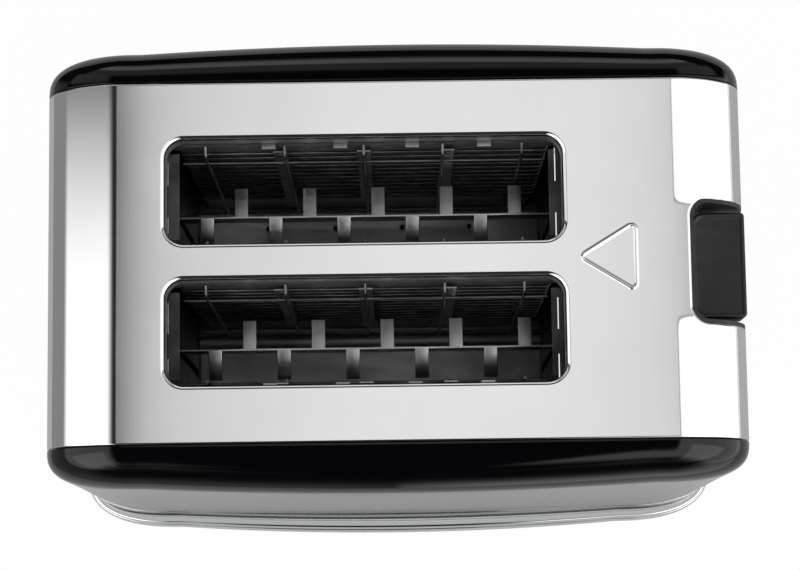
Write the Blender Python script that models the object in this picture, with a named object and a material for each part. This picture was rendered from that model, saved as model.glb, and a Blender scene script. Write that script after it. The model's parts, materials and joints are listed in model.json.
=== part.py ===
"""Two-slot toaster: steel band, black side panels, chrome skirt and the works inside.

Metres, +Z up. X runs along the slots with the lever at +X, Y runs across them, and the
origin is on the table under the middle of the base.
"""

import math

import bmesh
import bpy
import numpy as np
from mathutils import Matrix, Vector
from mathutils.geometry import delaunay_2d_cdt

# Body
HEIGHT = 0.1880
EMBOSS_HEIGHT = 0.0004
BODY_LENGTH = 0.2572
BAND_WIDTH = 0.1310
SHOULDER_RADIUS = 0.0284
BODY_FOOT = 0.0230
STEEL_SHEET = 0.0008
INNER_SHEET = 0.0007
CLEARANCE = 0.0003
RUNNING_CLEARANCE = 0.0011

# Side panels
SIDE_DEPTH = 0.0148
SIDE_BULGE = 0.0027
SIDE_DRAFT = 0.0034
PANEL_CORNER = 0.0360
PANEL_CROWN = 0.0200
PANEL_WALL = 0.0022
PANEL_SQUARENESS = 2.75
CROWN_SQUARENESS = 2.0
SKIRT_SQUARENESS = 2.5

# Slots in the top
SLOT_LENGTH_SHARE = 0.5708
SLOT_CENTRE_SHARE = -0.0435
SLOT_WIDTH = 0.0413
SLOT_BRIDGE = 0.0099
SLOT_CORNER = 0.0084
RIM_ROLL = 0.0016
COLLAR_DEPTH = 0.0085

# Raised triangle beside the slots
TRIANGLE_APEX_SHARE = 0.5358
TRIANGLE_BASE_SHARE = 0.6594
TRIANGLE_HALF_BASE = 0.0098
TRIANGLE_RADIUS = 0.0016
TRIANGLE_BEAD = 0.0009

# Toasting chamber
CHAMBER_TOP_DEPTH = 0.0112
CHAMBER_FOOT = 0.0200
FLOOR_RISE = 0.0376
BEAD_RADIUS = 0.0009
REAR_BEAD_Y = 0.0438
CENTRE_BEAD_Y = -0.0073
RIB_RADIUS = 0.0037
RIB_Y = -0.0122
FLOOR_HOLE_RADIUS = 0.0011
FLOOR_HOLE_Y = 0.0362
FLOOR_HOLE_PITCH_SHARE = 0.1978
CRUMB_GAP_WIDTH = 0.0050
CRUMB_GAP_LENGTH_SHARE = 0.7242
CRUMB_GAP_REAR_Y = 0.0080
CRUMB_GAP_FRONT_Y = -0.0370
FLANGE_LENGTH = 0.0044
FLANGE_HALF_WIDTH = 0.0160

# Heating boards
BOARD_FOOT_RISE = 0.0260
BOARD_SHEET = 0.0008
BOARD_TOP_DEPTH = 0.0120
BOARD_OFFSET = 0.0192
BOARD_SPACE = 0.0087
WINDING_RADIUS = 0.0004
WINDING_LOOPS = 12
WINDING_PITCH_SHARE = 0.0732
EAR_HEIGHT = 0.0070
EAR_REACH = 0.0049
STRAP_WIDTH = 0.0050
STRAP_PITCH_SHARE = 0.2302
STRAP_SHEET = 0.0005
CLIP_LENGTH = 0.0018

# Bread lift
CARRIER_DEPTH = 0.0576
CARRIER_SHEET = 0.0010
CARRIER_HEIGHT = 0.0100
CARRIER_REST = 0.0054
TAB_PITCH_SHARE = 0.1831
TAB_WIDTH = 0.0052
TAB_REACH = 0.0113
TAB_SHEET = 0.0008
TAB_SHELF = 0.0056
TAB_DROP = 0.0034
REAR_TAB_SHIFT = -0.0019
FRONT_TAB_SHIFT = 0.0010

# Wire guards
GUARD_WIRE = 0.0006
GUARD_PITCH_SHARE = 0.2012
GUARD_HOOK = 0.0042
GUARD_HOOK_RISE = 0.0026
GUARD_TAIL = 0.0007
GUARD_CROSS_DROP = 0.0090
GUARD_END_GAP = 0.0050
PIVOT_RISE = 0.0200
REAR_GUARD_OFFSET = 0.0142
REAR_GUARD_DEPTH = 0.0120
FRONT_GUARD_OFFSET = 0.0160
FRONT_GUARD_DEPTH = 0.0200

# Lever end
LEVER_CENTRE_Y = -0.0016
NOTCH_WIDTH = 0.0470
NOTCH_LENGTH = 0.0234
NOTCH_CORNER = 0.0075
NOTCH_FOOT = 0.0300
HOUSING_WALL = 0.0020
CONTROL_BLOCK_HEIGHT = 0.0500
PADDLE_DEPTH = 0.0150
PADDLE_HEIGHT = 0.0140
PADDLE_WIDTH = 0.0388
PADDLE_LENGTH = 0.0198
PADDLE_POCKET = 0.0050
ARM_BAR = 0.0080
ARM_THICK = 0.0020

# Controls
DIAL_Z = 0.0470
DIAL_RADIUS = 0.0140
DIAL_STAND = 0.0044
SHAFT_RADIUS = 0.0030
BUTTON_Z = 0.0700
BUTTON_RADIUS = 0.0044
BUTTON_PITCH = 0.0138
BUTTON_TRAVEL = 0.0015
BUTTON_STAND = 0.0021
CIRCUIT_SHEET = 0.0016
SWITCH_HEIGHT = 0.0040

# Carriage and magnet
BRACKET_SHEET = 0.0012
BRACKET_RISE = 0.0035
BRACKET_LEDGE = 0.0150
ROD_REACH = 0.0094
ROD_Y = 0.0140
ROD_RADIUS = 0.0025
ROD_SEAT_RADIUS = 0.0060
ROD_SEAT_TOP = 0.0240
ROD_FOOT = 0.0120
ROD_EAR_DEPTH = 0.0196
SPRING_WIRE = 0.00045
SPRING_RADIUS = 0.0040
SPRING_COILS = 9
MAGNET_LENGTH = 0.0150
MAGNET_WIDTH = 0.0160
MAGNET_HEIGHT = 0.0130
MAGNET_Y = -0.0260
MAGNET_POST = 0.0040
COIL_WALL = 0.0018

# Base
FOOT_HEIGHT = 0.0050
FOOT_RADIUS = 0.0085
SKIRT_FLARE = 0.0049
SKIRT_SIDE_FLARE = 0.0043
SKIRT_BULGE = 0.0009
SKIRT_WALL = 0.0026
SKIRT_FOOT = 0.0040
PAN_WALL = 0.0020
TRAY_WIDTH = 0.0940
TRAY_HEIGHT = 0.0085
TRAY_SETBACK = 0.0220
TRAY_SHEET = 0.0008
TRAY_CORNER = 0.0030
TRAY_LIP = 0.0016
SEAT_WIDTH = 0.0050
SCREW_SHANK = 0.0016
SCREW_HEAD = 0.0034
SCREW_HEAD_HEIGHT = 0.0018
SCREW_BOSS_RADIUS = 0.0050
SCREW_BOSS_TOP = 0.0200
SCREW_INSET = 0.0526
SCREW_OUTSET = 0.0065
GLAND_INSET = 0.0236
GLAND_SHIFT = 0.00165
GLAND_RADIUS = 0.0055
GLAND_BORE = 0.0036
VENT_INSET = 0.0306
VENT_LENGTH = 0.0300
VENT_WIDTH = 0.0026
VENT_PITCH = 0.0065
FOOT_INSET = 0.0286
FOOT_SIDE_INSET = 0.0015
FOOT_TO_GLAND = 0.0160

TOP = HEIGHT - EMBOSS_HEIGHT
HALF_LENGTH = BODY_LENGTH / 2
HALF_BAND = BAND_WIDTH / 2
SLOT_LENGTH = BODY_LENGTH * SLOT_LENGTH_SHARE
SLOT_CENTRE_X = BODY_LENGTH * SLOT_CENTRE_SHARE
SLOT_CENTRE_Y = (SLOT_BRIDGE + SLOT_WIDTH) / 2
CHAMBER_LENGTH = SLOT_LENGTH - RIM_ROLL * 2
CHAMBER_LEFT = SLOT_CENTRE_X - CHAMBER_LENGTH / 2
CHAMBER_RIGHT = SLOT_CENTRE_X + CHAMBER_LENGTH / 2
CHAMBER_HALF_WIDTH = SLOT_CENTRE_Y + BOARD_OFFSET + BOARD_SPACE
CHAMBER_TOP = TOP - CHAMBER_TOP_DEPTH
FLOOR_Z = FLOOR_RISE
BOARD_TOP = TOP - BOARD_TOP_DEPTH
BOARD_LENGTH = CHAMBER_LENGTH - EAR_REACH * 2
BOARD_HEIGHT = BOARD_TOP - FLOOR_Z - BOARD_FOOT_RISE
WINDING_PITCH = BOARD_HEIGHT * WINDING_PITCH_SHARE
STRAP_PITCH = BOARD_LENGTH * STRAP_PITCH_SHARE
CARRIER_TOP = TOP - CARRIER_DEPTH
LEVER_TRAVEL = CARRIER_TOP - CARRIER_HEIGHT - FLOOR_Z - CARRIER_REST
TAB_PITCH = CHAMBER_LENGTH * TAB_PITCH_SHARE
GUARD_PITCH = CHAMBER_LENGTH * GUARD_PITCH_SHARE
PIVOT_Z = FLOOR_Z + PIVOT_RISE
PADDLE_TOP = TOP - PADDLE_DEPTH
PAN_FLOOR = FOOT_HEIGHT + PAN_WALL
TRAY_FLOOR = PAN_FLOOR + CLEARANCE
BRACKET_X = CHAMBER_RIGHT + INNER_SHEET + RUNNING_CLEARANCE
BRACKET_LOW = CARRIER_TOP - CARRIER_HEIGHT - BRACKET_RISE
ROD_PLACE = (CHAMBER_RIGHT + ROD_REACH, ROD_Y)
ROD_EAR_Z = TOP - ROD_EAR_DEPTH
SCREW_X = HALF_LENGTH - SCREW_INSET
SCREW_Y = HALF_BAND + SCREW_OUTSET
SCREW_PLACES = ((SCREW_X, SCREW_Y), (-SCREW_X, SCREW_Y), (-SCREW_X, -SCREW_Y), (SCREW_X, -SCREW_Y))
GLAND_Y = (TRAY_WIDTH / 2 + HALF_BAND + SIDE_DEPTH) / 2 - GLAND_SHIFT
GLAND_PLACE = (GLAND_INSET - HALF_LENGTH, GLAND_Y)
FOOT_X = HALF_LENGTH - FOOT_INSET
FOOT_Y = HALF_BAND - FOOT_SIDE_INSET
FOOT_PLACES = (
    ("rear_right", (FOOT_X, FOOT_Y)),
    ("rear_left", (-FOOT_X, GLAND_PLACE[1] - FOOT_TO_GLAND)),
    ("front_left", (-FOOT_X, -FOOT_Y)),
    ("front_right", (FOOT_X, -FOOT_Y)),
)
WINDING_OFFSET = BOARD_SHEET / 2 + CLEARANCE + WINDING_RADIUS
STRAP_OFFSET = WINDING_OFFSET + WINDING_RADIUS + CLEARANCE
BOARD_PLACES = (
    ("element_rear", SLOT_CENTRE_Y + BOARD_OFFSET, -1),
    ("element_rear_inner", SLOT_CENTRE_Y - BOARD_OFFSET, 1),
    ("element_front_inner", -SLOT_CENTRE_Y + BOARD_OFFSET, -1),
    ("element_front", -SLOT_CENTRE_Y - BOARD_OFFSET, 1),
)

# Outlines are filled with triangles at this many times their size, for accuracy.
FILL_SCALE = 1000.0
MERGE_DISTANCE = 0.000001


def look(name, colour, roughness, metallic=0.0):
    """A plain Principled material in the piece's own colour."""
    material = bpy.data.materials.new(name)
    material.use_nodes = True
    shader = material.node_tree.nodes["Principled BSDF"]
    shader.inputs["Base Color"].default_value = (*colour, 1.0)
    shader.inputs["Roughness"].default_value = roughness
    shader.inputs["Metallic"].default_value = metallic
    material.diffuse_color = (*colour, 1.0)
    return material


def add_object(name, data, material):
    """Links a mesh or a curve to the scene as one named object."""
    data.materials.append(material)
    made = bpy.data.objects.new(name, data)
    bpy.context.scene.collection.objects.link(made)
    return made


def add_mesh(name, points, faces, material, closed=True):
    """A mesh object from points and faces, with its faces pointing out."""
    work = bmesh.new()
    verts = [work.verts.new(point) for point in points]
    for face in faces:
        if len(set(face)) > 2:
            work.faces.new([verts[index] for index in face])
    bmesh.ops.remove_doubles(work, verts=work.verts, dist=MERGE_DISTANCE)
    if closed:
        bmesh.ops.recalc_face_normals(work, faces=work.faces)
    mesh = bpy.data.meshes.new(name)
    work.to_mesh(mesh)
    work.free()
    mesh.shade_smooth()
    mesh.set_sharp_from_angle(angle=math.radians(35))
    return add_object(name, mesh, material)


def boolean(target, other, operation="DIFFERENCE"):
    """Cuts, joins or trims the target with another object, which becomes a hidden helper."""
    modifier = target.modifiers.new(other.name, "BOOLEAN")
    modifier.operation = operation
    modifier.object = other
    other.hide_render = True
    other.display_type = "WIRE"


def set_origin(piece, point):
    """Moves a piece's origin to a point, such as one on its joint axis."""
    piece.data.transform(Matrix.Translation(-Vector(point)))
    piece.location = point


def place_in(plane):
    """The function that turns (u, v, w) in a named plane into (x, y, z)."""
    return {
        "xy": lambda u, v, w: (u, v, w),
        "xz": lambda u, v, w: (u, w, v),
        "yz": lambda u, v, w: (w, u, v),
    }[plane]


def circle(centre, radius, sides=24):
    """Points round a circle in two dimensions."""
    turns = [math.tau * k / sides for k in range(sides)]
    return [(centre[0] + radius * math.cos(t), centre[1] + radius * math.sin(t)) for t in turns]


def rounded_box(low, high, radii, steps=5):
    """An outline in two dimensions with a radius at each corner, from the low corner anticlockwise."""
    corners = (
        (low[0], low[1], math.pi),
        (high[0], low[1], 1.5 * math.pi),
        (high[0], high[1], 0.0),
        (low[0], high[1], 0.5 * math.pi),
    )
    points = []
    for (x, y, start), radius in zip(corners, radii):
        centre_x = x + radius if x == low[0] else x - radius
        centre_y = y + radius if y == low[1] else y - radius
        for k in range(steps + 1 if radius else 1):
            turn = start + 0.5 * math.pi * k / steps
            points.append((centre_x + radius * math.cos(turn), centre_y + radius * math.sin(turn)))
    return points


def slot_hole(low, high, steps=4):
    """The outline of a slot with round ends, along the longer side of a box."""
    middle_x, middle_y = (low[0] + high[0]) / 2, (low[1] + high[1]) / 2
    radius = min(high[0] - low[0], high[1] - low[1]) / 2
    reach_x, reach_y = (high[0] - low[0]) / 2 - radius, (high[1] - low[1]) / 2 - radius
    start = -0.5 * math.pi if reach_x > reach_y else 0.0
    points = []
    for side in (1, -1):
        for k in range(steps + 1):
            turn = start + math.pi * k / steps
            x, y = reach_x + radius * math.cos(turn), reach_y + radius * math.sin(turn)
            points.append((middle_x + side * x, middle_y + side * y))
    return points


def inside(point, loop):
    """Whether a point lies inside a loop."""
    found = False
    for (x0, y0), (x1, y1) in zip(loop, loop[1:] + loop[:1]):
        if (y0 > point[1]) != (y1 > point[1]):
            found ^= point[0] < x0 + (point[1] - y0) * (x1 - x0) / (y1 - y0)
    return found


def filled(outline, holes=()):
    """The points of an outline and its holes, the triangles between them, and each loop's indices."""
    loops = [list(outline), *[list(hole) for hole in holes]]
    points = [point for loop in loops for point in loop]
    spans, edges, start = [], [], 0
    for loop in loops:
        span = list(range(start, start + len(loop)))
        edges += list(zip(span, span[1:] + span[:1]))
        spans.append(span)
        start += len(loop)
    scaled = [Vector(point) * FILL_SCALE for point in points]
    made = delaunay_2d_cdt(scaled, edges, [], 0, 0.0)
    source = [origin[0] for origin in made[3]]
    triangles = []
    for face in made[2]:
        face = [source[index] for index in face]
        middle = [sum(points[index][axis] for index in face) / 3 for axis in (0, 1)]
        if inside(middle, loops[0]) and not any(inside(middle, hole) for hole in loops[1:]):
            triangles.append(face)
    return points, triangles, spans


def plate(name, material, plane, outline, holes, low, high):
    """A flat plate between two heights, with holes right through it."""
    place = place_in(plane)
    points, triangles, spans = filled(outline, holes)
    count = len(points)
    solid = [place(*point, low) for point in points] + [place(*point, high) for point in points]
    faces = triangles + [[index + count for index in face] for face in triangles]
    for span in spans:
        for a, b in zip(span, span[1:] + span[:1]):
            faces.append([a, b, b + count, a + count])
    return add_mesh(name, solid, faces, material)


def prism(name, material, plane, outlines, low, high):
    """One or more extruded outlines in one mesh."""
    place = place_in(plane)
    points, faces = [], []
    for outline in outlines:
        start, count = len(points), len(outline)
        points += [place(*point, low) for point in outline]
        points += [place(*point, high) for point in outline]
        faces.append([start + k for k in range(count)])
        faces.append([start + count + k for k in range(count)])
        for k in range(count):
            after = (k + 1) % count
            faces.append([start + k, start + after, start + count + after, start + count + k])
    return add_mesh(name, points, faces, material)


def block(name, material, *corners):
    """Boxes in one mesh, each from its (low, high) corners."""
    points, faces = [], []
    for low, high in corners:
        start = len(points)
        for x in (low[0], high[0]):
            for y in (low[1], high[1]):
                points += [(x, y, low[2]), (x, y, high[2])]
        for face in ((0, 1, 3, 2), (4, 6, 7, 5), (0, 4, 5, 1), (2, 3, 7, 6), (0, 2, 6, 4), (1, 5, 7, 3)):
            faces.append([start + index for index in face])
    return add_mesh(name, points, faces, material)


def loft(name, material, rings, ring_closes=False):
    """A skin over rings of equal length, capped at both ends or closed on itself."""
    count = len(rings[0])
    points = [point for ring in rings for point in ring]
    faces = []
    steps = len(rings) if ring_closes else len(rings) - 1
    for step in range(steps):
        first, second = step * count, (step + 1) % len(rings) * count
        for k in range(count):
            after = (k + 1) % count
            faces.append([first + k, first + after, second + after, second + k])
    if not ring_closes:
        faces.append(list(range(count)))
        faces.append(list(range(len(points) - count, len(points))))
    return add_mesh(name, points, faces, material)


def turned(name, material, plane, centre, profile, sides=24, bored=False):
    """A turned piece about the normal of a plane, from (radius, height) pairs."""
    place = place_in(plane)
    rings = []
    for radius, height in profile:
        rings.append([place(*point, height) for point in circle(centre, radius, sides)])
    return loft(name, material, rings, ring_closes=bored)


def tube_rings(path, radius, sides=6):
    """Rings round a path of points, each square to the path there."""
    path = [Vector(point) for point in path]
    rings, across = [], None
    for k, point in enumerate(path):
        ahead = path[min(k + 1, len(path) - 1)] - path[max(k - 1, 0)]
        ahead.normalize()
        if across is None:
            across = ahead.orthogonal().normalized()
        across = (across - ahead * across.dot(ahead)).normalized()
        up = ahead.cross(across)
        turns = [math.tau * side / sides for side in range(sides)]
        rings.append([tuple(point + radius * (math.cos(t) * across + math.sin(t) * up)) for t in turns])
    return rings


def tubes(name, material, paths, radius, sides=6):
    """Separate tubes in one mesh, each capped at both ends."""
    points, faces = [], []
    for path in paths:
        rings = tube_rings(path, radius, sides)
        start = len(points)
        points += [point for ring in rings for point in ring]
        for step in range(len(rings) - 1):
            for k in range(sides):
                a, b = start + step * sides + k, start + step * sides + (k + 1) % sides
                faces.append([a, b, b + sides, a + sides])
        faces.append([start + k for k in range(sides)])
        faces.append([len(points) - sides + k for k in range(sides)])
    return add_mesh(name, points, faces, material)


def wound_wire(name, material, path, radius):
    """One unbroken wire along a path, as a bevelled curve."""
    curve = bpy.data.curves.new(name, "CURVE")
    curve.dimensions = "3D"
    curve.bevel_depth = radius
    curve.bevel_resolution = 1
    curve.use_fill_caps = True
    spline = curve.splines.new("POLY")
    spline.points.add(len(path) - 1)
    for point, place in zip(spline.points, path):
        point.co = (*place, 1.0)
    return add_object(name, curve, material)


def least_gap(path, radius, apart):
    """The least gap between parts of a wire that lie further apart along it than a given run."""
    dense, run = [], [0.0]
    for first, second in zip(path, path[1:]):
        first, second = np.array(first), np.array(second)
        pieces = max(1, math.ceil(float(np.linalg.norm(second - first)) / (4 * radius)))
        dense += [first + (second - first) * k / pieces for k in range(pieces)]
    dense = np.array(dense)
    run = np.concatenate([[0.0], np.cumsum(np.linalg.norm(np.diff(dense, axis=0), axis=1))])
    least = math.inf
    for k, point in enumerate(dense):
        far = dense[run > run[k] + apart]
        if len(far):
            least = min(least, float(np.linalg.norm(far - point, axis=1).min()))
    return least - 2 * radius


def corner_pairs(steps, squareness):
    """(out, along) shares of a rounded corner, from its start at the band to its side."""
    turns = [0.5 * math.pi * k / steps for k in range(steps + 1)]
    outs = [min(math.sin(t), 1.0) for t in turns]
    return [(out, (1.0 - out**squareness) ** (1.0 / squareness)) for out in outs]


def side_depth(x, depth, bulge):
    """How far the side stands out from the band's edge at a place along the body."""
    straight = HALF_LENGTH - PANEL_CORNER
    return depth + bulge * (1 - min(abs(x) / straight, 1.0) ** 2)


def plan_outline(grow_x, grow_y, bulge, squareness, columns=6, steps=5):
    """The body's outline seen from above, grown outwards, anticlockwise from the right front."""
    straight = HALF_LENGTH - PANEL_CORNER
    quarter = []
    for out, along in corner_pairs(steps, squareness):
        quarter.append((straight + (PANEL_CORNER + grow_x) * along, HALF_BAND + (SIDE_DEPTH + grow_y) * out))
    side = [straight - 2 * straight * k / columns for k in range(1, columns)]
    rear = quarter + [(x, HALF_BAND + side_depth(x, SIDE_DEPTH + grow_y, bulge)) for x in side]
    rear += [(-x, y) for x, y in reversed(quarter)]
    return rear + [(-x, -y) for x, y in rear]


def band_profile(steps=8):
    """The steel band seen from the front: (x, z) from its left foot over the top to its right foot."""
    centre_x, centre_z = HALF_LENGTH - SHOULDER_RADIUS, TOP - SHOULDER_RADIUS
    turns = [0.5 * math.pi * k / steps for k in range(steps + 1)]
    left = [(-HALF_LENGTH, BODY_FOOT)]
    for turn in turns:
        out, up = SHOULDER_RADIUS * math.cos(turn), SHOULDER_RADIUS * math.sin(turn)
        left.append((-centre_x - out, centre_z + up))
    return left + [(-x, z) for x, z in reversed(left)]


def slot_outline(centre_y, inset, steps=5):
    """A bread slot's outline in the top, drawn in by an inset."""
    half_x, half_y = SLOT_LENGTH / 2 - inset, SLOT_WIDTH / 2 - inset
    low = (SLOT_CENTRE_X - half_x, centre_y - half_y)
    high = (SLOT_CENTRE_X + half_x, centre_y + half_y)
    return rounded_box(low, high, [SLOT_CORNER - inset] * 4, steps)


def notch_outline(inset):
    """The lever notch seen from above, open past the end of the body."""
    overrun = NOTCH_LENGTH
    half = NOTCH_WIDTH / 2 - inset
    low = (HALF_LENGTH - NOTCH_LENGTH + inset, LEVER_CENTRE_Y - half)
    high = (HALF_LENGTH + overrun, LEVER_CENTRE_Y + half)
    corner = NOTCH_CORNER - inset
    return rounded_box(low, high, [corner, 0.0, 0.0, corner])


def steel_band(steel):
    """The polished band over the top and down both ends, with rolled collars round the slots."""
    profile = band_profile()
    middle = len(profile) // 2
    flat_left, flat_right = profile[middle - 1][0], profile[middle][0]
    outline = [(flat_left, -HALF_BAND), (flat_right, -HALF_BAND)]
    outline += [(flat_right, HALF_BAND), (flat_left, HALF_BAND)]
    centres = (SLOT_CENTRE_Y, -SLOT_CENTRE_Y)
    flat, faces, spans = filled(outline, [slot_outline(y, 0.0) for y in centres])
    points = [(x, y, TOP) for x, y in flat]
    faces = [list(face) for face in faces]
    for centre_y, span in zip(centres, spans[1:]):
        rolls = [0.5 * math.pi * k / 3 for k in range(1, 4)]
        levels = [(RIM_ROLL * math.sin(t), TOP - RIM_ROLL * (1 - math.cos(t))) for t in rolls]
        levels.append((RIM_ROLL, TOP - COLLAR_DEPTH))
        for inset, z in levels:
            start = len(points)
            points += [(x, y, z) for x, y in slot_outline(centre_y, inset)]
            ring = [start + k for k in range(len(span))]
            for k in range(len(span)):
                after = (k + 1) % len(span)
                faces.append([span[k], span[after], ring[after], ring[k]])
            span = ring
    for part in (profile[:middle], profile[middle:]):
        for (x0, z0), (x1, z1) in zip(part, part[1:]):
            start = len(points)
            points += [(x0, -HALF_BAND, z0), (x1, -HALF_BAND, z1), (x1, HALF_BAND, z1), (x0, HALF_BAND, z0)]
            faces.append([start, start + 1, start + 2, start + 3])
    band = add_mesh("steel_band", points, faces, steel, closed=False)
    orient_by_top(band)
    wall = band.modifiers.new("sheet", "SOLIDIFY")
    wall.thickness = STEEL_SHEET
    wall.offset = -1
    wall.use_even_offset = True
    notch = [notch_outline(0.0)]
    boolean(band, prism("notch_cutter", steel, "xy", notch, NOTCH_FOOT, HEIGHT + EMBOSS_HEIGHT))
    boolean(band, heat_triangle(steel), "UNION")
    return band


def orient_by_top(surface):
    """Turns an open surface so that its highest face looks up and the rest agree with it."""
    work = bmesh.new()
    work.from_mesh(surface.data)
    bmesh.ops.recalc_face_normals(work, faces=work.faces)
    work.normal_update()
    highest = max(work.faces, key=lambda face: (face.calc_center_median().z, face.calc_area()))
    if highest.normal.z < 0:
        bmesh.ops.reverse_faces(work, faces=work.faces)
    work.to_mesh(surface.data)
    work.free()


def heat_triangle(steel):
    """The plain triangular bead pressed in the top beside the slots."""
    apex, base = HALF_LENGTH * TRIANGLE_APEX_SHARE, HALF_LENGTH * TRIANGLE_BASE_SHARE
    half_base = TRIANGLE_HALF_BASE
    steps, sides = 3, 6
    corners = [Vector((apex, 0.0)), Vector((base, -half_base)), Vector((base, half_base))]
    rings = []
    for k, centre in enumerate(corners):
        arriving, leaving = centre - corners[k - 1], corners[(k + 1) % 3] - centre
        start = math.atan2(-arriving.x, arriving.y)
        sweep = (math.atan2(-leaving.x, leaving.y) - start) % math.tau
        for step in range(steps + 1):
            turn = start + sweep * step / steps
            ring = []
            for side in range(sides):
                roll = math.tau * (side + 0.5) / sides
                reach = TRIANGLE_RADIUS + TRIANGLE_BEAD * math.cos(roll)
                rise = EMBOSS_HEIGHT * math.sin(roll)
                x, y = centre.x + reach * math.cos(turn), centre.y + reach * math.sin(turn)
                ring.append((x, y, TOP + rise))
            rings.append(ring)
    return loft("triangle_bead", steel, rings, ring_closes=True)


def side_panel(name, black, sign):
    """A pillowed panel that closes one long side, between the band's edge and the skirt."""
    straight, face_top = HALF_LENGTH - PANEL_CORNER, TOP - PANEL_CROWN
    row_shares, columns = (0.0, 0.3, 0.62, 1.0), 6
    levels = [BODY_FOOT + (face_top - BODY_FOOT) * share for share in row_shares]
    across = [-straight + 2 * straight * k / columns for k in range(columns + 1)]
    shoulder = band_profile()
    bend = shoulder[1 : len(shoulder) // 2]
    left = [(-HALF_LENGTH, z) for z in levels if z < bend[0][1]] + bend
    left = [point for point in left if point[0] < -straight]
    rows = [z for x, z in left if z < face_top] + [face_top]
    outer = left + [(x, TOP) for x in across] + [(-x, z) for x, z in reversed(left)]

    def skin_point(x, z, out, along_x, along_z):
        face_x, face_z = max(-straight, min(straight, x)), min(z, face_top)
        draft = SIDE_DRAFT * ((face_top - face_z) / (face_top - BODY_FOOT)) ** 2
        depth = side_depth(face_x, SIDE_DEPTH, SIDE_BULGE) + draft
        edge = HALF_BAND + CLEARANCE
        place_y = edge + (depth - CLEARANCE) * out
        return (face_x + (x - face_x) * along_x, sign * place_y, face_z + (z - face_z) * along_z)

    corner, crown = corner_pairs(7, PANEL_SQUARENESS), corner_pairs(7, CROWN_SQUARENESS)
    lip_share = 0.03
    rings = [[skin_point(x, z, out, 1.0, 1.0) for x, z in outer] for out in (0.0, lip_share)]
    for (out, along_x), (_, along_z) in zip(corner[1:], crown[1:]):
        rings.append([skin_point(x, z, out, along_x, along_z) for x, z in outer])
    points = [point for ring in rings for point in ring]
    faces, count = [], len(outer)
    for step in range(len(rings) - 1):
        for k in range(count - 1):
            a = step * count + k
            faces.append([a, a + 1, a + 1 + count, a + count])
    start = len(points)
    points += [skin_point(x, z, 1.0, 0.0, 0.0) for x in across for z in rows]
    for column in range(columns):
        for row in range(len(rows) - 1):
            a = start + column * len(rows) + row
            faces.append([a, a + 1, a + 1 + len(rows), a + len(rows)])
    panel = add_mesh(name, points, faces, black, closed=False)
    orient_by_top(panel)
    wall = panel.modifiers.new("wall", "SOLIDIFY")
    wall.thickness = PANEL_WALL
    wall.offset = -1
    wall.use_even_offset = True
    return panel


def skirt(chrome):
    """The chrome ring under the body, with a flared foot and two beads round it."""
    flare_shares = (0.04, 0.12, 0.30, 0.50, 0.64, 0.74, 0.70, 0.84, 1.00, 0.96)
    height_shares = (1.00, 0.84, 0.70, 0.61, 0.60, 0.50, 0.37, 0.36, 0.20, 0.00)
    top = BODY_FOOT - CLEARANCE
    rings = []
    for flare_share, height_share in zip(flare_shares, height_shares):
        grow_y = SIDE_DRAFT + SKIRT_SIDE_FLARE * flare_share
        bulge = SIDE_BULGE + SKIRT_BULGE * flare_share
        squareness = PANEL_SQUARENESS + (SKIRT_SQUARENESS - PANEL_SQUARENESS) * flare_share
        outline = plan_outline(SKIRT_FLARE * flare_share, grow_y, bulge, squareness)
        z = SKIRT_FOOT + (top - SKIRT_FOOT) * height_share
        rings.append([(x, y, z) for x, y in outline])
    inner = plan_outline(-SKIRT_WALL, SIDE_DRAFT - SKIRT_WALL, SIDE_BULGE, PANEL_SQUARENESS)
    rings.append([(x, y, SKIRT_FOOT) for x, y in inner])
    rings.append([(x, y, top) for x, y in inner])
    ring = loft("base_skirt", chrome, rings, ring_closes=True)
    boolean(ring, tray_cutter("skirt_tray_cutter", chrome))
    return ring


def tray_cutter(name, material):
    """The space that the crumb tray slides out through at the left end."""
    half, low = TRAY_WIDTH / 2 + RUNNING_CLEARANCE, PAN_FLOOR
    high = TRAY_FLOOR + TRAY_HEIGHT + RUNNING_CLEARANCE
    overrun = HALF_LENGTH + SKIRT_FLARE * 2
    inner = HALF_LENGTH - PANEL_CORNER
    return block(name, material, ((-overrun, -half, low), (-inner, half, high)))


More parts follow.
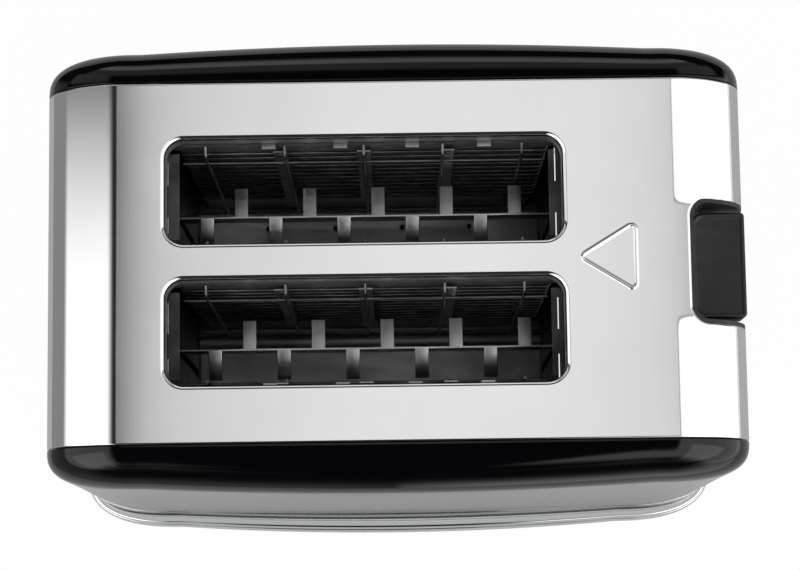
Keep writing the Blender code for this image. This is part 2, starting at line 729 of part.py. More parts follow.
def base_pan(plastic):
    """The black pan under everything, with seats for the chamber, rod, magnet, gland and screws."""
    top = BODY_FOOT - CLEARANCE
    grow_x, grow_y = -SKIRT_WALL - CLEARANCE, SIDE_DRAFT - SKIRT_WALL - CLEARANCE
    outer = plan_outline(grow_x, grow_y, SIDE_BULGE, PANEL_SQUARENESS)
    inner = plan_outline(grow_x - PAN_WALL, grow_y - PAN_WALL, SIDE_BULGE, PANEL_SQUARENESS)
    levels = ((outer, FOOT_HEIGHT), (outer, top), (inner, top), (inner, PAN_FLOOR))
    pan = loft("base_pan", plastic, [[(x, y, z) for x, y in outline] for outline, z in levels])
    sunk = PAN_WALL / 2
    seats = []
    for plate_x in (CHAMBER_LEFT - INNER_SHEET / 2, CHAMBER_RIGHT + INNER_SHEET / 2):
        for side in (1, -1):
            inner_y, outer_y = CHAMBER_HALF_WIDTH - SEAT_WIDTH, CHAMBER_HALF_WIDTH + SEAT_WIDTH
            low_y, high_y = sorted((side * inner_y, side * outer_y))
            low = (plate_x - SEAT_WIDTH, low_y, PAN_FLOOR - sunk)
            seats.append((low, (plate_x + SEAT_WIDTH, high_y, CHAMBER_FOOT - CLEARANCE)))
    magnet_low, magnet_high = magnet_box()
    edge = CLEARANCE * 2
    seats.append(
        (
            (magnet_low[0] - edge, magnet_low[1] - edge, PAN_FLOOR - sunk),
            (magnet_high[0] + edge, magnet_high[1] + edge, magnet_low[2] - CLEARANCE),
        )
    )
    boolean(pan, block("pan_seats", plastic, *seats), "UNION")
    rod_seat = turned(
        "rod_seat",
        plastic,
        "xy",
        ROD_PLACE,
        ((ROD_SEAT_RADIUS, PAN_FLOOR - sunk), (ROD_SEAT_RADIUS, ROD_SEAT_TOP)),
        sides=20,
    )
    boolean(pan, rod_seat, "UNION")
    bosses = [circle(place, SCREW_BOSS_RADIUS, 16) for place in SCREW_PLACES]
    boolean(pan, prism("screw_bosses", plastic, "xy", bosses, PAN_FLOOR - sunk, SCREW_BOSS_TOP), "UNION")
    boolean(pan, tray_cutter("pan_tray_cutter", plastic))
    overrun = PAN_WALL
    shanks = [circle(place, SCREW_SHANK + CLEARANCE, 12) for place in SCREW_PLACES]
    under = FOOT_HEIGHT - overrun
    boolean(pan, prism("shank_cutter", plastic, "xy", shanks, under, SCREW_BOSS_TOP + overrun))
    heads = [circle(place, SCREW_HEAD + CLEARANCE, 16) for place in SCREW_PLACES]
    head_top = FOOT_HEIGHT + SCREW_HEAD_HEIGHT + CLEARANCE * 2
    boolean(pan, prism("head_cutter", plastic, "xy", heads, under, head_top))
    rod_hole = [circle(ROD_PLACE, ROD_RADIUS + CLEARANCE, 16)]
    boolean(pan, prism("rod_cutter", plastic, "xy", rod_hole, ROD_FOOT - CLEARANCE, ROD_SEAT_TOP + overrun))
    gland_hole = [circle(GLAND_PLACE, GLAND_RADIUS + CLEARANCE, 20)]
    boolean(pan, prism("gland_cutter", plastic, "xy", gland_hole, under, PAN_FLOOR + overrun))
    boolean(pan, vent_cutter(plastic, overrun))
    return pan


def vent_cutter(plastic, overrun):
    """Slots through the pan's floor that let air in under the lever end."""
    slots, outlines = 4, []
    half_width, half_length = VENT_WIDTH / 2, VENT_LENGTH / 2
    for k in range(slots):
        x = HALF_LENGTH - VENT_INSET + VENT_PITCH * (k - (slots - 1) / 2)
        outlines.append(slot_hole((x - half_width, -half_length), (x + half_width, half_length)))
    return prism("vent_cutter", plastic, "xy", outlines, FOOT_HEIGHT - overrun, PAN_FLOOR + overrun)


def magnet_box():
    """The low and high corners of the holding magnet's core."""
    low_x, low_z = BRACKET_X + BRACKET_SHEET + CLEARANCE, ROD_SEAT_TOP
    low = (low_x, MAGNET_Y - MAGNET_WIDTH / 2, low_z)
    return low, (low_x + MAGNET_LENGTH, MAGNET_Y + MAGNET_WIDTH / 2, low_z + MAGNET_HEIGHT)


def screws(steel):
    """Four case screws, each with its head sunk in the pan."""
    tip = 0.0010
    low = FOOT_HEIGHT + CLEARANCE
    neck, end = low + SCREW_HEAD_HEIGHT, SCREW_BOSS_TOP - CLEARANCE
    profile = (
        (SCREW_HEAD * 0.86, low),
        (SCREW_HEAD, low + SCREW_HEAD_HEIGHT / 3),
        (SCREW_HEAD, neck),
        (SCREW_SHANK, neck),
        (SCREW_SHANK, end - tip),
        (SCREW_SHANK / 2, end),
    )
    for number, place in enumerate(SCREW_PLACES, 1):
        turned(f"case_screw_{number}", steel, "xy", place, profile, sides=12)


def feet(rubber):
    """Four rubber feet under the pan."""
    rounding = 0.0012
    top = FOOT_HEIGHT - CLEARANCE
    profile = ((FOOT_RADIUS - rounding, 0.0), (FOOT_RADIUS, rounding), (FOOT_RADIUS, top))
    for name, place in FOOT_PLACES:
        turned(f"foot_{name}", rubber, "xy", place, profile, sides=20)


def cord_gland(plastic):
    """The flanged bush where a cord comes up through the pan."""
    flange, rise = 0.0020, 0.0016
    low, seat = FOOT_HEIGHT - CLEARANCE, PAN_FLOOR + CLEARANCE
    outer = GLAND_RADIUS + flange
    profile = (
        (GLAND_BORE, low),
        (GLAND_RADIUS, low),
        (GLAND_RADIUS, seat),
        (outer, seat),
        (outer, seat + rise),
        (GLAND_BORE, seat + rise),
    )
    turned("cord_gland", plastic, "xy", GLAND_PLACE, profile, sides=20, bored=True)


def crumb_tray(steel):
    """The folded tray that catches crumbs and pulls out at the left end."""
    wall, corner, lip = TRAY_SHEET, TRAY_CORNER, TRAY_LIP
    half, right = TRAY_WIDTH / 2, CHAMBER_RIGHT - TRAY_SETBACK
    left, top = -(HALF_LENGTH - SKIRT_WALL), TRAY_FLOOR + TRAY_HEIGHT
    shapes = ((0.0, TRAY_FLOOR), (0.0, top), (wall, top), (wall, TRAY_FLOOR + wall))
    rings = []
    for inset, z in shapes:
        low, high = (left + inset, -half + inset), (right - inset, half - inset)
        rings.append([(x, y, z) for x, y in rounded_box(low, high, [corner - inset] * 4, 3)])
    tray = loft("crumb_tray", steel, rings)
    outer_x = left - SKIRT_WALL - SKIRT_FLARE / 2
    outline = [(outer_x, TRAY_FLOOR), (left + wall / 2, TRAY_FLOOR), (left + wall / 2, TRAY_FLOOR + lip)]
    outline += [(outer_x + lip, TRAY_FLOOR + lip), (outer_x + lip, top), (outer_x, top)]
    boolean(tray, prism("tray_pull", steel, "xz", [outline], corner - half, half - corner), "UNION")
    set_origin(tray, (left, 0.0, TRAY_FLOOR))
    return tray


def travel_slot(centre_y):
    """The outline of the upright slot that a bread carrier slides in, in (y, z)."""
    half, above = CARRIER_SHEET / 2 + RUNNING_CLEARANCE, 0.0030
    low_z = CARRIER_TOP - LEVER_TRAVEL - CARRIER_HEIGHT - RUNNING_CLEARANCE
    high_z = CARRIER_TOP + above
    return slot_hole((centre_y - half, low_z), (centre_y + half, high_z))


def guard_places():
    """Each guard's name, its upright place in Y, how far its tips bend to +Y and how far down they bend."""
    return (
        ("guard_rear_back", SLOT_CENTRE_Y + REAR_GUARD_OFFSET, GUARD_HOOK, REAR_GUARD_DEPTH),
        ("guard_rear_front", SLOT_CENTRE_Y - FRONT_GUARD_OFFSET, 0.0, FRONT_GUARD_DEPTH),
        ("guard_front_back", -SLOT_CENTRE_Y + REAR_GUARD_OFFSET, GUARD_HOOK, REAR_GUARD_DEPTH),
        ("guard_front_front", -SLOT_CENTRE_Y - FRONT_GUARD_OFFSET, 0.0, FRONT_GUARD_DEPTH),
    )


def end_plate(name, steel, inner_x, sign):
    """The upright sheet at one end of the chamber, with travel slots, pivot holes and top flanges."""
    low, high = sorted((inner_x, inner_x + sign * INNER_SHEET))
    outline = rounded_box((-CHAMBER_HALF_WIDTH, CHAMBER_FOOT), (CHAMBER_HALF_WIDTH, CHAMBER_TOP), [0.0] * 4)
    holes = [travel_slot(y) for y in (SLOT_CENTRE_Y, -SLOT_CENTRE_Y)]
    holes += [circle((place[1], PIVOT_Z), GUARD_WIRE + CLEARANCE, 10) for place in guard_places()]
    sheet = plate(name, steel, "yz", outline, holes, low, high)
    flanges = []
    for centre_y in (SLOT_CENTRE_Y, -SLOT_CENTRE_Y):
        near, far = sorted((inner_x + sign * INNER_SHEET / 2, inner_x - sign * FLANGE_LENGTH))
        low_corner = (near, centre_y - FLANGE_HALF_WIDTH, CHAMBER_TOP - INNER_SHEET)
        flanges.append((low_corner, (far, centre_y + FLANGE_HALF_WIDTH, CHAMBER_TOP)))
    boolean(sheet, block(name + "_flanges", steel, *flanges), "UNION")
    return sheet


def rod_ear(steel):
    """The ear on the right end plate that holds the guide rod's upper end."""
    margin = ROD_SEAT_RADIUS
    x, y = ROD_PLACE
    low = (CHAMBER_RIGHT + INNER_SHEET / 2, y - margin)
    outline = rounded_box(low, (x + margin, y + margin), [0.0, margin / 2, margin / 2, 0.0], 3)
    hole = circle(ROD_PLACE, ROD_RADIUS + CLEARANCE, 16)
    return plate("rod_ear", steel, "xy", outline, [hole], ROD_EAR_Z, ROD_EAR_Z + STEEL_SHEET)


def chamber_floor(steel):
    """The pressed floor of the chamber, with three rounded ribs, small holes and crumb gaps."""
    half = CHAMBER_HALF_WIDTH - INNER_SHEET * 4
    ribs = ((REAR_BEAD_Y, BEAD_RADIUS), (CENTRE_BEAD_Y, BEAD_RADIUS), (RIB_Y, RIB_RADIUS))
    steps = 5
    upper = [(-half, FLOOR_Z)]
    for centre, radius in sorted(ribs):
        turns = [math.pi * (1 - k / steps) for k in range(steps + 1)]
        upper += [(centre + radius * math.cos(t), FLOOR_Z + radius * math.sin(t)) for t in turns]
    upper.append((half, FLOOR_Z))
    left, right = CHAMBER_LEFT + CLEARANCE, CHAMBER_RIGHT - CLEARANCE
    points = [(x, y, z) for x in (left, right) for y, z in upper]
    count = len(upper)
    faces = [[k, k + 1, k + 1 + count, k + count] for k in range(count - 1)]
    floor = add_mesh("chamber_floor", points, faces, steel, closed=False)
    orient_by_top(floor)
    wall = floor.modifiers.new("sheet", "SOLIDIFY")
    wall.thickness = INNER_SHEET
    wall.offset = -1
    holes, pitch = 4, CHAMBER_LENGTH * FLOOR_HOLE_PITCH_SHARE
    first_x = SLOT_CENTRE_X - pitch * (holes - 1) / 2
    places = [(first_x + pitch * k, FLOOR_HOLE_Y) for k in range(holes)]
    outlines = [circle(place, FLOOR_HOLE_RADIUS, 10) for place in places]
    gap_half = CHAMBER_LENGTH * CRUMB_GAP_LENGTH_SHARE / 2
    for y in (CRUMB_GAP_REAR_Y, CRUMB_GAP_FRONT_Y):
        low = (SLOT_CENTRE_X - gap_half, y - CRUMB_GAP_WIDTH / 2)
        high = (SLOT_CENTRE_X + gap_half, y + CRUMB_GAP_WIDTH / 2)
        outlines.append(slot_hole(low, high))
    overrun = INNER_SHEET * 3
    boolean(floor, prism("floor_cutter", steel, "xy", outlines, FLOOR_Z - overrun, FLOOR_Z + overrun))
    return floor


def element_board(name, mica, centre_y):
    """A mica board with four ears that reach the end plates."""
    half, low, high = BOARD_LENGTH / 2, BOARD_TOP - BOARD_HEIGHT, BOARD_TOP
    reach = CHAMBER_LENGTH / 2 - CLEARANCE
    right = [(reach, low), (reach, low + EAR_HEIGHT), (half, low + EAR_HEIGHT)]
    right += [(half, high - EAR_HEIGHT), (reach, high - EAR_HEIGHT), (reach, high)]
    outline = right + [(-x, z) for x, z in reversed(right)]
    outline = [(SLOT_CENTRE_X + x, z) for x, z in outline]
    faces = centre_y - BOARD_SHEET / 2, centre_y + BOARD_SHEET / 2
    return prism(name + "_board", mica, "xz", [outline], *faces)


def element_winding(name, wire, centre_y, front):
    """The heating wire wound round a board in one unbroken run, with its ends at the right ears."""
    half = BOARD_LENGTH / 2
    right, left = SLOT_CENTRE_X + half, SLOT_CENTRE_X - half
    tail_x = (CHAMBER_LENGTH - BOARD_LENGTH) / 4
    steps = 2
    first_z = BOARD_TOP - BOARD_HEIGHT / 2 + WINDING_PITCH * (WINDING_LOOPS - 1) / 2
    ear_low, ear_high = BOARD_TOP - EAR_HEIGHT, BOARD_TOP - BOARD_HEIGHT + EAR_HEIGHT
    straight = WINDING_RADIUS * 3
    path = [(right + tail_x, centre_y, ear_low - CLEARANCE)]
    path.append((right + tail_x, centre_y, ear_low - CLEARANCE - straight))
    for loop in range(WINDING_LOOPS):
        z = first_z - WINDING_PITCH * loop
        for k in range(steps + 1):
            turn = math.pi * k / steps
            bend_x, bend_y = WINDING_OFFSET * math.sin(turn), front * WINDING_OFFSET * math.cos(turn)
            path.append((right + bend_x, centre_y - bend_y, z + WINDING_PITCH * (1 - k / steps) / 8))
        for k in range(steps + 1):
            turn = math.pi * k / steps
            bend_x, bend_y = WINDING_OFFSET * math.sin(turn), front * WINDING_OFFSET * math.cos(turn)
            path.append((left - bend_x, centre_y + bend_y, z - WINDING_PITCH * k / steps / 8))
    last_z = path[-1][2] - WINDING_PITCH / 4
    path.append((right, centre_y - front * WINDING_OFFSET, last_z))
    path.append((right + tail_x, centre_y, ear_high + CLEARANCE + straight))
    path.append((right + tail_x, centre_y, ear_high + CLEARANCE))
    gap = least_gap(path, WINDING_RADIUS, WINDING_PITCH)
    print(f"{name}_winding least gap to itself {gap * 1000:.2f} mm")
    return wound_wire(name + "_winding", wire, path, WINDING_RADIUS)


def board_holder(board_y, front, back_y):
    """Boxes from a sheet forward under a board, up over its front as straps and down to the floor."""
    low_z = BOARD_TOP - BOARD_HEIGHT - CLEARANCE - STRAP_SHEET
    strap_top = BOARD_TOP - EAR_HEIGHT / 2
    face, far = board_y + front * STRAP_OFFSET, board_y + front * (STRAP_OFFSET + STRAP_SHEET)
    apron = board_y - front * STRAP_SHEET
    ledge_half = BOARD_LENGTH / 2
    ledge_y = sorted((back_y, board_y))
    apron_y = sorted((board_y, apron))
    left, right = SLOT_CENTRE_X - ledge_half, SLOT_CENTRE_X + ledge_half
    sheets = [((left, ledge_y[0], low_z), (right, ledge_y[1], low_z + STRAP_SHEET))]
    sheets.append(((left, apron_y[0], FLOOR_Z + CLEARANCE), (right, apron_y[1], low_z + STRAP_SHEET / 2)))
    feet_y, strap_y = sorted((apron, far)), sorted((face, far))
    for k in (-1, 0, 1):
        x = SLOT_CENTRE_X + STRAP_PITCH * k
        low_x, high_x = x - STRAP_WIDTH / 2, x + STRAP_WIDTH / 2
        foot_low = (low_x, feet_y[0], low_z - STRAP_SHEET / 2)
        sheets.append((foot_low, (high_x, feet_y[1], low_z + STRAP_SHEET / 2)))
        sheets.append(((low_x, strap_y[0], low_z), (high_x, strap_y[1], strap_top)))
    return sheets


def reflector(name, steel, board, side):
    """The bright sheet behind an outer board, folded forward under it, with straps and top clips."""
    low_y, high_y = sorted((side * (CHAMBER_HALF_WIDTH - STRAP_SHEET * 2), side * CHAMBER_HALF_WIDTH))
    left, right = CHAMBER_LEFT + CLEARANCE, CHAMBER_RIGHT - CLEARANCE
    clip_z, back_y = BOARD_TOP + CLEARANCE, side * (CHAMBER_HALF_WIDTH - STRAP_SHEET)
    sheet = block(name, steel, ((left, low_y, FLOOR_Z - INNER_SHEET), (right, high_y, clip_z + STRAP_SHEET)))
    for number, box in enumerate(board_holder(board[1], board[2], back_y)):
        boolean(sheet, block(f"{name}_fold_{number}", steel, box), "UNION")
    clip_y = sorted((back_y, board[1] + board[2] * CLIP_LENGTH))
    clips = []
    for k in range(4):
        x = SLOT_CENTRE_X + REAR_TAB_SHIFT + TAB_PITCH * (k - 1.25)
        corner = (x - STRAP_WIDTH / 2, clip_y[0], clip_z)
        clips.append((corner, (x + STRAP_WIDTH / 2, clip_y[1], clip_z + STRAP_SHEET)))
    boolean(sheet, block(name + "_clips", steel, *clips), "UNION")
    return sheet


def centre_frame(steel):
    """The sheet between the two inner boards, folded out under both, with straps over their fronts."""
    half = STRAP_SHEET
    left, right = CHAMBER_LEFT + CLEARANCE, CHAMBER_RIGHT - CLEARANCE
    frame = block("centre_frame", steel, ((left, -half, FLOOR_Z + CLEARANCE), (right, half, BOARD_TOP)))
    folds = board_holder(BOARD_PLACES[1][1], BOARD_PLACES[1][2], 0.0)
    folds += board_holder(BOARD_PLACES[2][1], BOARD_PLACES[2][2], 0.0)
    for number, box in enumerate(folds):
        boolean(frame, block(f"centre_fold_{number}", steel, box), "UNION")
    return frame


def guard(name, wire, place_y, hook, top_depth):
    """A wire frame that keeps bread off a board, hinged on its lowest wire."""
    count, bend_z = 5, TOP - top_depth
    cross_z, past = bend_z - GUARD_CROSS_DROP, INNER_SHEET + GUARD_TAIL
    left, right = CHAMBER_LEFT, CHAMBER_RIGHT
    pivot = [(left - past, place_y, PIVOT_Z), (right + past, place_y, PIVOT_Z)]
    cross = [(left + GUARD_END_GAP, place_y, cross_z), (right - GUARD_END_GAP, place_y, cross_z)]
    uprights = []
    for k in range(count):
        x = SLOT_CENTRE_X + GUARD_PITCH * (k - (count - 1) / 2)
        top = (x, place_y + hook, bend_z + GUARD_HOOK_RISE)
        uprights.append([(x, place_y, PIVOT_Z), (x, place_y, bend_z), top])
    frame = tubes(name, wire, [pivot], GUARD_WIRE, 8)
    boolean(frame, tubes(name + "_uprights", wire, uprights, GUARD_WIRE, 6), "UNION")
    boolean(frame, tubes(name + "_cross", wire, [cross], GUARD_WIRE * 0.9, 6), "UNION")
    set_origin(frame, (SLOT_CENTRE_X, place_y, PIVOT_Z))
    return frame


def bread_carrier(name, steel, centre_y, shift_x):
    """The upright strip that lifts one slice, with tabs folded out to both sides."""
    tab_count = 5
    left = CHAMBER_LEFT - INNER_SHEET - RUNNING_CLEARANCE * 3
    half = CARRIER_SHEET / 2
    low = (left, centre_y - half, CARRIER_TOP - CARRIER_HEIGHT)
    strip = block(name, steel, (low, (BRACKET_X - CLEARANCE, centre_y + half, CARRIER_TOP)))
    tabs = []
    first = SLOT_CENTRE_X + shift_x - TAB_PITCH * (tab_count - 1) / 2
    for k in range(tab_count):
        rear_x, front_x = first + TAB_PITCH * (k + 0.25), first + TAB_PITCH * (k - 0.25)
        tabs.append((rear_x, TAB_SHELF, TAB_REACH, 0.0))
        tabs.append((front_x, -TAB_SHELF, -TAB_REACH, TAB_DROP))
    points, faces = [], []
    for x, shelf, reach, fall in tabs:
        start = len(points)
        upper = ((centre_y, 0.0), (centre_y + shelf, 0.0), (centre_y + reach, fall))
        for edge in (x - TAB_WIDTH / 2, x + TAB_WIDTH / 2):
            points += [(edge, y, CARRIER_TOP - down) for y, down in upper]
            points += [(edge, y, CARRIER_TOP - down - TAB_SHEET) for y, down in reversed(upper)]
        faces += [[start + k for k in range(6)], [start + 6 + k for k in range(6)]]
        faces += [[start + k, start + (k + 1) % 6, start + 6 + (k + 1) % 6, start + 6 + k] for k in range(6)]
    boolean(strip, add_mesh(name + "_tabs", points, faces, steel), "UNION")
    set_origin(strip, (SLOT_CENTRE_X, centre_y, CARRIER_TOP))
    return strip


def carriage(steel):
    """The bracket that joins both carriers and runs on the guide rod."""
    low_z, high_z = BRACKET_LOW, CARRIER_TOP + BRACKET_RISE
    reach = SLOT_CENTRE_Y + CARRIER_HEIGHT / 2
    low = (BRACKET_X, -reach, low_z)
    bracket = block("carriage_bracket", steel, (low, (BRACKET_X + BRACKET_SHEET, reach, high_z)))
    bush = turned(
        "carriage_bush",
        steel,
        "xy",
        ROD_PLACE,
        ((ROD_SEAT_RADIUS, low_z), (ROD_SEAT_RADIUS, high_z)),
        sides=20,
    )
    boolean(bracket, bush, "UNION")
    magnet_low, magnet_high = magnet_box()
    shelf = (
        (BRACKET_X + BRACKET_SHEET / 2, magnet_low[1], low_z),
        (BRACKET_X + BRACKET_LEDGE, magnet_high[1], low_z + BRACKET_SHEET),
    )
    web = (
        (BRACKET_X + BRACKET_SHEET / 2, ROD_Y - BRACKET_RISE, low_z + BRACKET_SHEET / 2),
        (ROD_PLACE[0], ROD_Y + BRACKET_RISE, high_z - BRACKET_SHEET / 2),
    )
    boolean(bracket, block("carriage_shelf", steel, shelf, web), "UNION")
    hole = [circle(ROD_PLACE, ROD_RADIUS + CLEARANCE, 20)]
    overrun = BRACKET_RISE
    boolean(bracket, prism("bush_cutter", steel, "xy", hole, low_z - overrun, high_z + overrun))
    set_origin(bracket, (*ROD_PLACE, low_z))
    return bracket


def armature(steel):
    """The plate under the carriage that the holding magnet catches."""
    magnet_low, magnet_high = magnet_box()
    seat = BRACKET_LOW - CLEARANCE
    low_z = magnet_high[2] + CLEARANCE + LEVER_TRAVEL
    low = (magnet_low[0], magnet_low[1], low_z)
    piece = block("armature", steel, (low, (magnet_high[0] - CLEARANCE, magnet_high[1], seat)))
    set_origin(piece, (*ROD_PLACE, low_z))
    return piece


def lever_arm(steel):
    """The cranked flat bar from the carriage to the lever paddle."""
    radius = 0.0020
    start_x = BRACKET_X + BRACKET_SHEET + CLEARANCE
    low_z, high_z = CARRIER_TOP - CARRIER_HEIGHT, arm_level() + ARM_BAR / 2
    end_x = paddle_left() + PADDLE_POCKET - CLEARANCE
    under, inner_x = high_z - ARM_BAR, start_x + ARM_BAR
    outline = [(start_x, low_z), (inner_x, low_z), (inner_x, under - radius), (inner_x + radius, under)]
    outline += [(end_x, under), (end_x, high_z), (start_x + radius, high_z), (start_x, high_z - radius)]
    sides = LEVER_CENTRE_Y - ARM_THICK / 2, LEVER_CENTRE_Y + ARM_THICK / 2
    arm = prism("lever_arm", steel, "xz", [outline], *sides)
    set_origin(arm, (start_x, LEVER_CENTRE_Y, high_z))
    return arm


def arm_level():
    """The height of the arm's middle where it enters the paddle."""
    return PADDLE_TOP - PADDLE_HEIGHT / 2


def paddle_left():
    """Where the lever paddle starts, clear of the housing's back wall."""
    return HALF_LENGTH - NOTCH_LENGTH + CLEARANCE + HOUSING_WALL + RUNNING_CLEARANCE / 2


def lever_paddle(black):
    """The wide flat lever with a thin raised edge round its top."""
    inner_corner, outer_corner, edge, lip, taper = 0.0048, 0.0014, 0.0016, 0.0005, 0.0012
    left = paddle_left()
    right, half = left + PADDLE_LENGTH, PADDLE_WIDTH / 2
    low_z = PADDLE_TOP - PADDLE_HEIGHT
    levels = (
        (taper, low_z),
        (taper / 4, low_z + taper),
        (0.0, PADDLE_TOP - lip * 2),
        (lip / 2, PADDLE_TOP),
        (edge - lip, PADDLE_TOP),
        (edge, PADDLE_TOP - lip),
    )
    rings = []
    for inset, z in levels:
        low = (left + inset, LEVER_CENTRE_Y - half + inset)
        high = (right - inset, LEVER_CENTRE_Y + half - inset)
        near, far = max(inner_corner - inset, lip), max(outer_corner - inset, lip)
        rings.append([(x, y, z) for x, y in rounded_box(low, high, [near, far, far, near])])
    paddle = loft("lever_paddle", black, rings)
    arm_half_z, arm_half_y = ARM_BAR / 2 + CLEARANCE, ARM_THICK / 2 + CLEARANCE
    low = (left - PADDLE_POCKET, LEVER_CENTRE_Y - arm_half_y, arm_level() - arm_half_z)
    high = (left + PADDLE_POCKET, LEVER_CENTRE_Y + arm_half_y, arm_level() + arm_half_z)
    boolean(paddle, block("paddle_pocket", black, (low, high)))
    set_origin(paddle, (left, LEVER_CENTRE_Y, PADDLE_TOP))
    return paddle


def lever_housing(black):
    """The black insert at the lever end: a trough for the lever over a box for the controls."""
    left, right = HALF_LENGTH - NOTCH_LENGTH + CLEARANCE, HALF_LENGTH - CLEARANCE
    low_z, trough_floor = NOTCH_FOOT + CLEARANCE, NOTCH_FOOT + CONTROL_BLOCK_HEIGHT
    radius, steps = SHOULDER_RADIUS, 8
    centre_x, centre_z = HALF_LENGTH - radius, TOP - radius - CLEARANCE
    start = math.acos((left - centre_x) / radius)
    profile = [(left - HOUSING_WALL, low_z), (right, low_z)]
    for k in range(steps + 1):
        turn = start * k / steps
        profile.append((min(right, centre_x + radius * math.cos(turn)), centre_z + radius * math.sin(turn)))
    profile.append((left - HOUSING_WALL, centre_z + radius))
    sides = LEVER_CENTRE_Y - NOTCH_WIDTH, LEVER_CENTRE_Y + NOTCH_WIDTH
    housing = prism("lever_housing", black, "xz", [profile], *sides)
    plan, above = [notch_outline(CLEARANCE)], HEIGHT + HOUSING_WALL
    boolean(housing, prism("housing_plan", black, "xy", plan, low_z - HOUSING_WALL, above), "INTERSECT")
    trough = [notch_outline(CLEARANCE + HOUSING_WALL)]
    boolean(housing, prism("trough_cutter", black, "xy", trough, trough_floor, above))
    half = NOTCH_WIDTH / 2 - CLEARANCE - HOUSING_WALL
    back = (left - HOUSING_WALL, LEVER_CENTRE_Y - half, low_z + HOUSING_WALL)
    front = (right - HOUSING_WALL, LEVER_CENTRE_Y + half, trough_floor - HOUSING_WALL)
    boolean(housing, block("controls_cutter", black, (back, front)))
    slot_half, arm_half = ARM_THICK / 2 + RUNNING_CLEARANCE, ARM_BAR / 2 + RUNNING_CLEARANCE * 2
    slot_low, slot_high = arm_level() - LEVER_TRAVEL - arm_half, arm_level() + arm_half
    low, high = (LEVER_CENTRE_Y - slot_half, slot_low), (LEVER_CENTRE_Y + slot_half, slot_high)
    slot, overrun = [slot_hole(low, high)], HOUSING_WALL * 2
    boolean(housing, prism("arm_slot", black, "yz", slot, left - overrun, left + overrun))
    holes = [circle((y, BUTTON_Z), BUTTON_RADIUS + CLEARANCE, 20) for y in button_places()]
    holes.append(circle((LEVER_CENTRE_Y, DIAL_Z), SHAFT_RADIUS + CLEARANCE, 16))
    boolean(housing, prism("control_holes", black, "yz", holes, right - overrun, right + overrun))
    return housing


def button_places():
    """The places in Y of the three buttons."""
    return [LEVER_CENTRE_Y + BUTTON_PITCH * k for k in (-1, 0, 1)]


def control_front():
    """The outer face of the control box."""
    return HALF_LENGTH - CLEARANCE


def board_face():
    """The face of the circuit board that looks at the controls."""
    return HALF_LENGTH - NOTCH_LENGTH


def buttons(plastic):
    """Three push buttons with a flange behind the housing wall and a stem to the switch."""
    flange, flange_thick, stem, rounding = 0.0013, 0.0014, 0.0016, 0.0007
    front = control_front()
    back = front - HOUSING_WALL - CLEARANCE
    tip = board_face() + SWITCH_HEIGHT + BUTTON_TRAVEL + CLEARANCE
    outer = front + BUTTON_STAND
    profile = (
        (stem, tip),
        (stem, back - flange_thick),
        (BUTTON_RADIUS + flange, back - flange_thick),
        (BUTTON_RADIUS + flange, back),
        (BUTTON_RADIUS, back),
        (BUTTON_RADIUS, outer - rounding),
        (BUTTON_RADIUS - rounding, outer),
    )
    for name, y in zip(("button_cancel", "button_reheat", "button_defrost"), button_places()):
        button = turned(name, plastic, "yz", (y, BUTTON_Z), profile, sides=16)
        set_origin(button, (outer, y, BUTTON_Z))


def dial(plastic, steel):
    """The browning dial, its shaft and the control that the shaft turns."""
    bore_depth, rounding, grip_half, grip_rise = 0.0030, 0.0008, 0.0016, 0.0012
    back = control_front() + CLEARANCE
    front = back + DIAL_STAND - grip_rise
    centre = (LEVER_CENTRE_Y, DIAL_Z)
    shaft_end = back + bore_depth - CLEARANCE
    profile = ((DIAL_RADIUS, back), (DIAL_RADIUS, front - rounding), (DIAL_RADIUS - rounding, front))
    knob = turned("browning_dial", plastic, "yz", centre, profile, sides=28)
    reach = DIAL_RADIUS - rounding * 2
    low = (front - rounding, LEVER_CENTRE_Y - grip_half, DIAL_Z - reach)
    high = (front + grip_rise, LEVER_CENTRE_Y + grip_half, DIAL_Z + reach)
    boolean(knob, block("dial_grip", plastic, (low, high)), "UNION")
    bore = [circle(centre, SHAFT_RADIUS + CLEARANCE, 16)]
    boolean(knob, prism("dial_bore", plastic, "yz", bore, back - bore_depth, back + bore_depth))
    set_origin(knob, (back, *centre))
    pot_front = board_face() + SWITCH_HEIGHT * 2
    shaft = turned(
        "dial_shaft",
        steel,
        "yz",
        centre,
        ((SHAFT_RADIUS, pot_front + CLEARANCE), (SHAFT_RADIUS, shaft_end)),
        sides=16,
    )
    set_origin(shaft, (back, *centre))
    half = 0.0085
    low = (board_face() + CLEARANCE, LEVER_CENTRE_Y - half, DIAL_Z - half)
    block("browning_control", steel, (low, (pot_front, LEVER_CENTRE_Y + half, DIAL_Z + half)))


def circuit_board(resin):
    """The board behind the controls, with a switch under each button."""
    margin, switch_half = 0.0010, 0.0030
    half = NOTCH_WIDTH / 2 - margin
    face = board_face()
    low_z, high_z = NOTCH_FOOT + margin, NOTCH_FOOT + CONTROL_BLOCK_HEIGHT - margin
    low = (face - CIRCUIT_SHEET, LEVER_CENTRE_Y - half, low_z)
    board = block("circuit_board", resin, (low, (face, LEVER_CENTRE_Y + half, high_z)))
    switches = []
    for y in button_places():
        corner = (face - CIRCUIT_SHEET / 2, y - switch_half, BUTTON_Z - switch_half)
        switches.append((corner, (face + SWITCH_HEIGHT, y + switch_half, BUTTON_Z + switch_half)))
    boolean(board, block("board_switches", resin, *switches), "UNION")
    return board


def guide_rod(steel):
    """The upright rod that the carriage runs on."""
    end = ROD_EAR_Z + STEEL_SHEET * 4
    turned("guide_rod", steel, "xy", ROD_PLACE, ((ROD_RADIUS, ROD_FOOT), (ROD_RADIUS, end)), sides=16)


